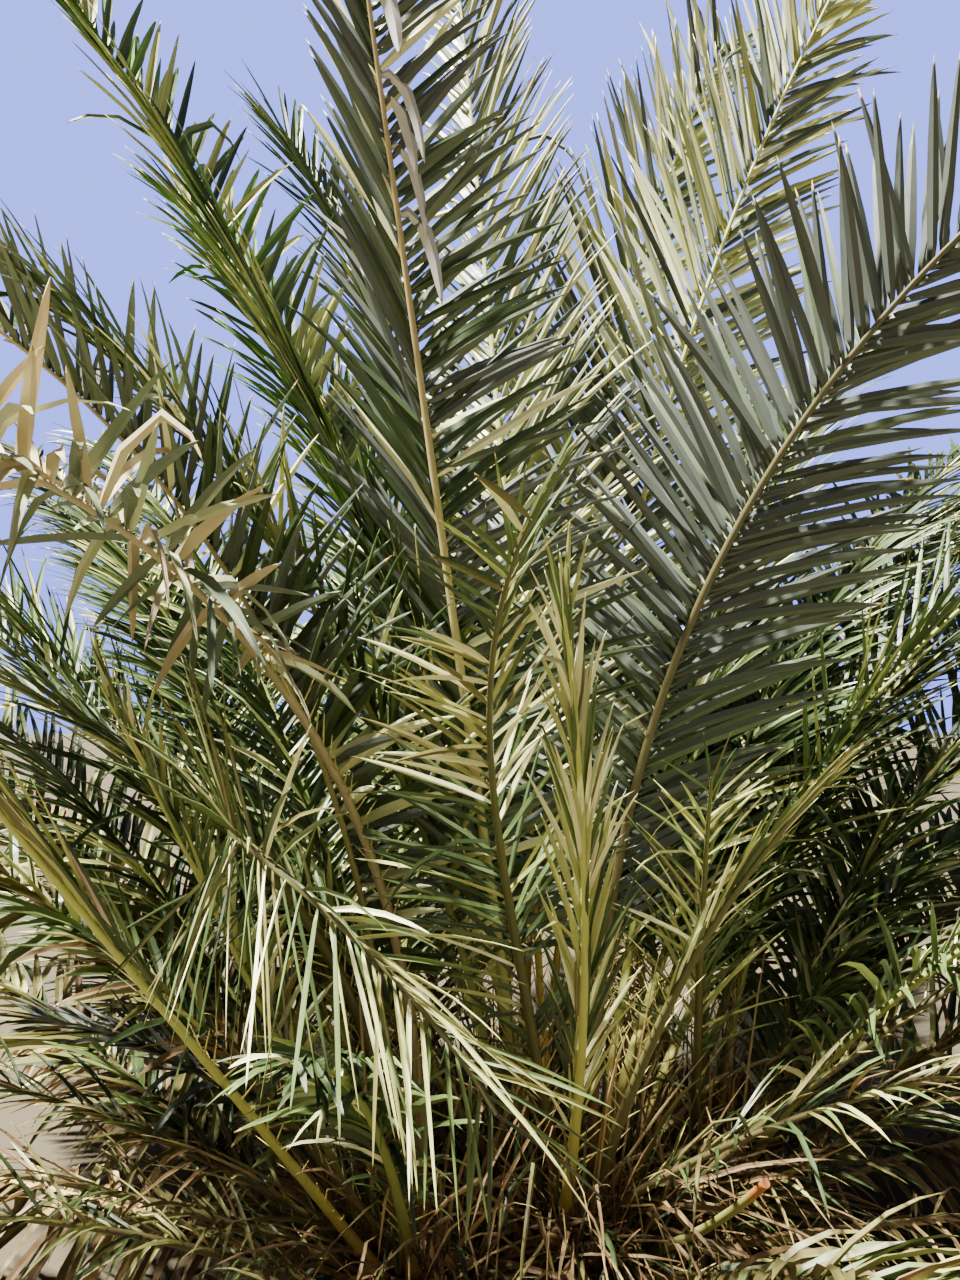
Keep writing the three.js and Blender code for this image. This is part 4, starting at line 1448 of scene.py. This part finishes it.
@dataclass
class DeadLeaves:
    """Dead leaflets and straws that stick out round the feet of the stems."""

    # The deep green and the triple share of tan darken them as painted shade round the feet of the stems,
    # beside their own dry straw, tan and olive
    finishes: tuple[LeafFinish, ...] = (STRAW, TAN, TAN, TAN, OLIVE, DEEP)
    count: int = 460
    seed: int = 61
    shares: tuple[float, float] = (0.15, 0.85)  # of the stem's height
    rises: tuple[float, float] = (5, 88)
    lengths: tuple[float, float] = (0.2, 0.5)
    upright_extra: float = 0.35  # length that an upright one may have besides
    stray: float = 25.0  # degrees off the way straight out
    seat: float = 0.9  # against the stem's radius
    widths: tuple[float, float] = (0.005, 0.016)
    droops: tuple[float, float] = (0.1, 1.1)
    twist: float = 1.2  # radians

    def strew(self, stem: Stem, rng: np.random.Generator) -> Leaflets:
        """Places the dead leaflets of one stem.

        Args:
            stem: The stem.
            rng: Source of their places and shapes.

        Returns:
            The batch of leaflets.
        """
        n = self.count
        heading = rng.uniform(0, 360, n)
        share = rng.uniform(*self.shares, n)
        rise = rng.uniform(*self.rises, n)
        way = direction(heading + rng.normal(0, self.stray, n), rise)
        outward = direction(heading, 0 * heading) * (stem.radius_at(share) * self.seat)[:, None]
        finish = rng.integers(0, len(self.finishes), n)
        upright = rise / self.rises[1]
        return Leaflets(
            roots=stem.middle(share * stem.height) + outward,
            ways=way,
            faces_up=unit(np.cross(way, rng.normal(0, 1, (n, 3)))),
            lengths=rng.uniform(*self.lengths, n) + self.upright_extra * rng.random(n) * upright,
            widths=rng.uniform(*self.widths, n),
            droops=rng.uniform(*self.droops, n),
            twists=rng.normal(0, self.twist, n),
            finishes=finish,
            tips=finish,
        )

    def build(self) -> Iterator[bpy.types.Object]:
        """Builds one piece of dead leaflets for each stem.

        Yields:
            The pieces.
        """
        for number, (name, stem) in enumerate(STEMS.items()):
            surface = Surface()
            self.strew(stem, np.random.default_rng(self.seed + number)).put_into(surface)
            piece = surface.mesh(f"{name}_dead_leaflets", LEAFLET_SIDES)
            for finish in self.finishes:
                piece.data.materials.append(finish.material())
            yield hand_over(piece, Look.DRY.slot)


@dataclass
class Studio:
    """A pale floor, soft light and the camera at the photograph's viewing angle."""

    camera_place: tuple[float, float, float] = (-0.235, -2.40, 1.45)
    camera_pitch: float = 3.0  # degrees above the level
    camera_reach: float = 200.0
    lens: float = 27.03
    floor_size: float = 60.0
    floor_colour: str = "#4a4230"
    sun: float = 36.0
    sun_colour: tuple[float, float, float] = (1.0, 0.97, 0.9)
    sun_width: float = 4.0  # degrees
    sun_way: tuple[float, float, float] = (0.45, 0.15, -1.0)
    surround: str = "#a4b4f4"  # light from above
    bounce: str = "#b8ac98"  # light thrown back by the ground and by other leaves
    fill: float = 0.34  # strength of both
    horizon: tuple[float, float] = (0.1, 0.7)  # heights between which bounce gives way to surround
    sky: str = "#8092ff"  # what the camera sees between the fronds
    backdrop: float = 2.4  # its strength

    def build(self) -> None:
        """Sets the stage."""
        self.floor()
        self.camera()
        self.key()
        self.world()

    def floor(self) -> None:
        """A plain pale floor."""
        half = self.floor_size / 2
        edge = [(-half, -half, 0), (half, -half, 0), (half, half, 0), (-half, half, 0)]
        data = bpy.data.meshes.new("floor")
        data.from_pydata(edge, [], [(0, 1, 2, 3)])
        paint = bpy.data.materials.new("studio_floor")
        paint.use_nodes = True
        shader = paint.node_tree.nodes["Principled BSDF"]
        shader.inputs["Base Color"].default_value = linear(self.floor_colour)
        shader.inputs["Roughness"].default_value = 0.9
        data.materials.append(paint)
        link(bpy.data.objects.new("floor", data))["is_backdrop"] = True

    def camera(self) -> None:
        """The camera, looking along +Y and a little up."""
        data = bpy.data.cameras.new("camera")
        data.lens = self.lens
        data.clip_end = self.camera_reach
        made = link(bpy.data.objects.new("camera", data))
        made.location = self.camera_place
        made.rotation_euler = (math.radians(90 + self.camera_pitch), 0, 0)
        bpy.context.scene.camera = made

    def key(self) -> None:
        """A soft key light from the upper left."""
        data = bpy.data.lights.new("key", "SUN")
        data.energy = self.sun
        data.angle = math.radians(self.sun_width)
        data.color = self.sun_colour
        made = link(bpy.data.objects.new("key", data))
        made.rotation_euler = Vector(self.sun_way).to_track_quat("-Z", "Y").to_euler()

    def world(self) -> None:
        """An even surround, warm from below and cool from above, and a plain backdrop."""
        world = bpy.data.worlds.new("studio")
        world.use_nodes = True
        tree = world.node_tree
        tree.nodes.clear()
        way = add_node(tree, "ShaderNodeTexCoord").outputs["Generated"]
        height = add_node(tree, "ShaderNodeSeparateXYZ", inputs={0: way}).outputs["Z"]
        low, high = self.horizon
        share = add_node(tree, RANGE, inputs={0: height, 1: low, 2: high, 3: 0.0, 4: 1.0})
        colours = {0: share, 1: linear(self.bounce), 2: linear(self.surround)}
        light = add_node(tree, "ShaderNodeMixRGB", inputs=colours)
        fill = add_node(tree, BACKGROUND, inputs={"Color": light, "Strength": self.fill})
        seen = add_node(tree, BACKGROUND, inputs={"Color": linear(self.sky), "Strength": self.backdrop})
        ray = add_node(tree, "ShaderNodeLightPath").outputs["Is Camera Ray"]
        both = add_node(tree, "ShaderNodeMixShader", inputs={0: ray, 1: fill, 2: seen})
        add_node(tree, "ShaderNodeOutputWorld", inputs={"Surface": both})
        bpy.context.scene.world = world


def corners(box: Any) -> list[list[float]]:
    """A box as plain lists of numbers."""
    return [[float(x) for x in corner] for corner in box]


def main() -> None:
    """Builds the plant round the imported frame."""
    logging.basicConfig(level=logging.INFO, format="%(name)s: %(message)s")
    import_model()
    cad_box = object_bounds()
    fronds = lay_fronds()
    log.info("%d fronds", len(fronds))
    for part in (StemBodies(), Ribs(fronds), Plumage(fronds), Outgrowths(fronds), DeadLeaves()):
        for piece in part.build():
            log.info("%s: %d faces", piece.name, len(piece.data.polygons))
    Studio().build()
    {"cad": corners(cad_box), "visual": corners(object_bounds())}


if __name__ == "__main__":
    main()
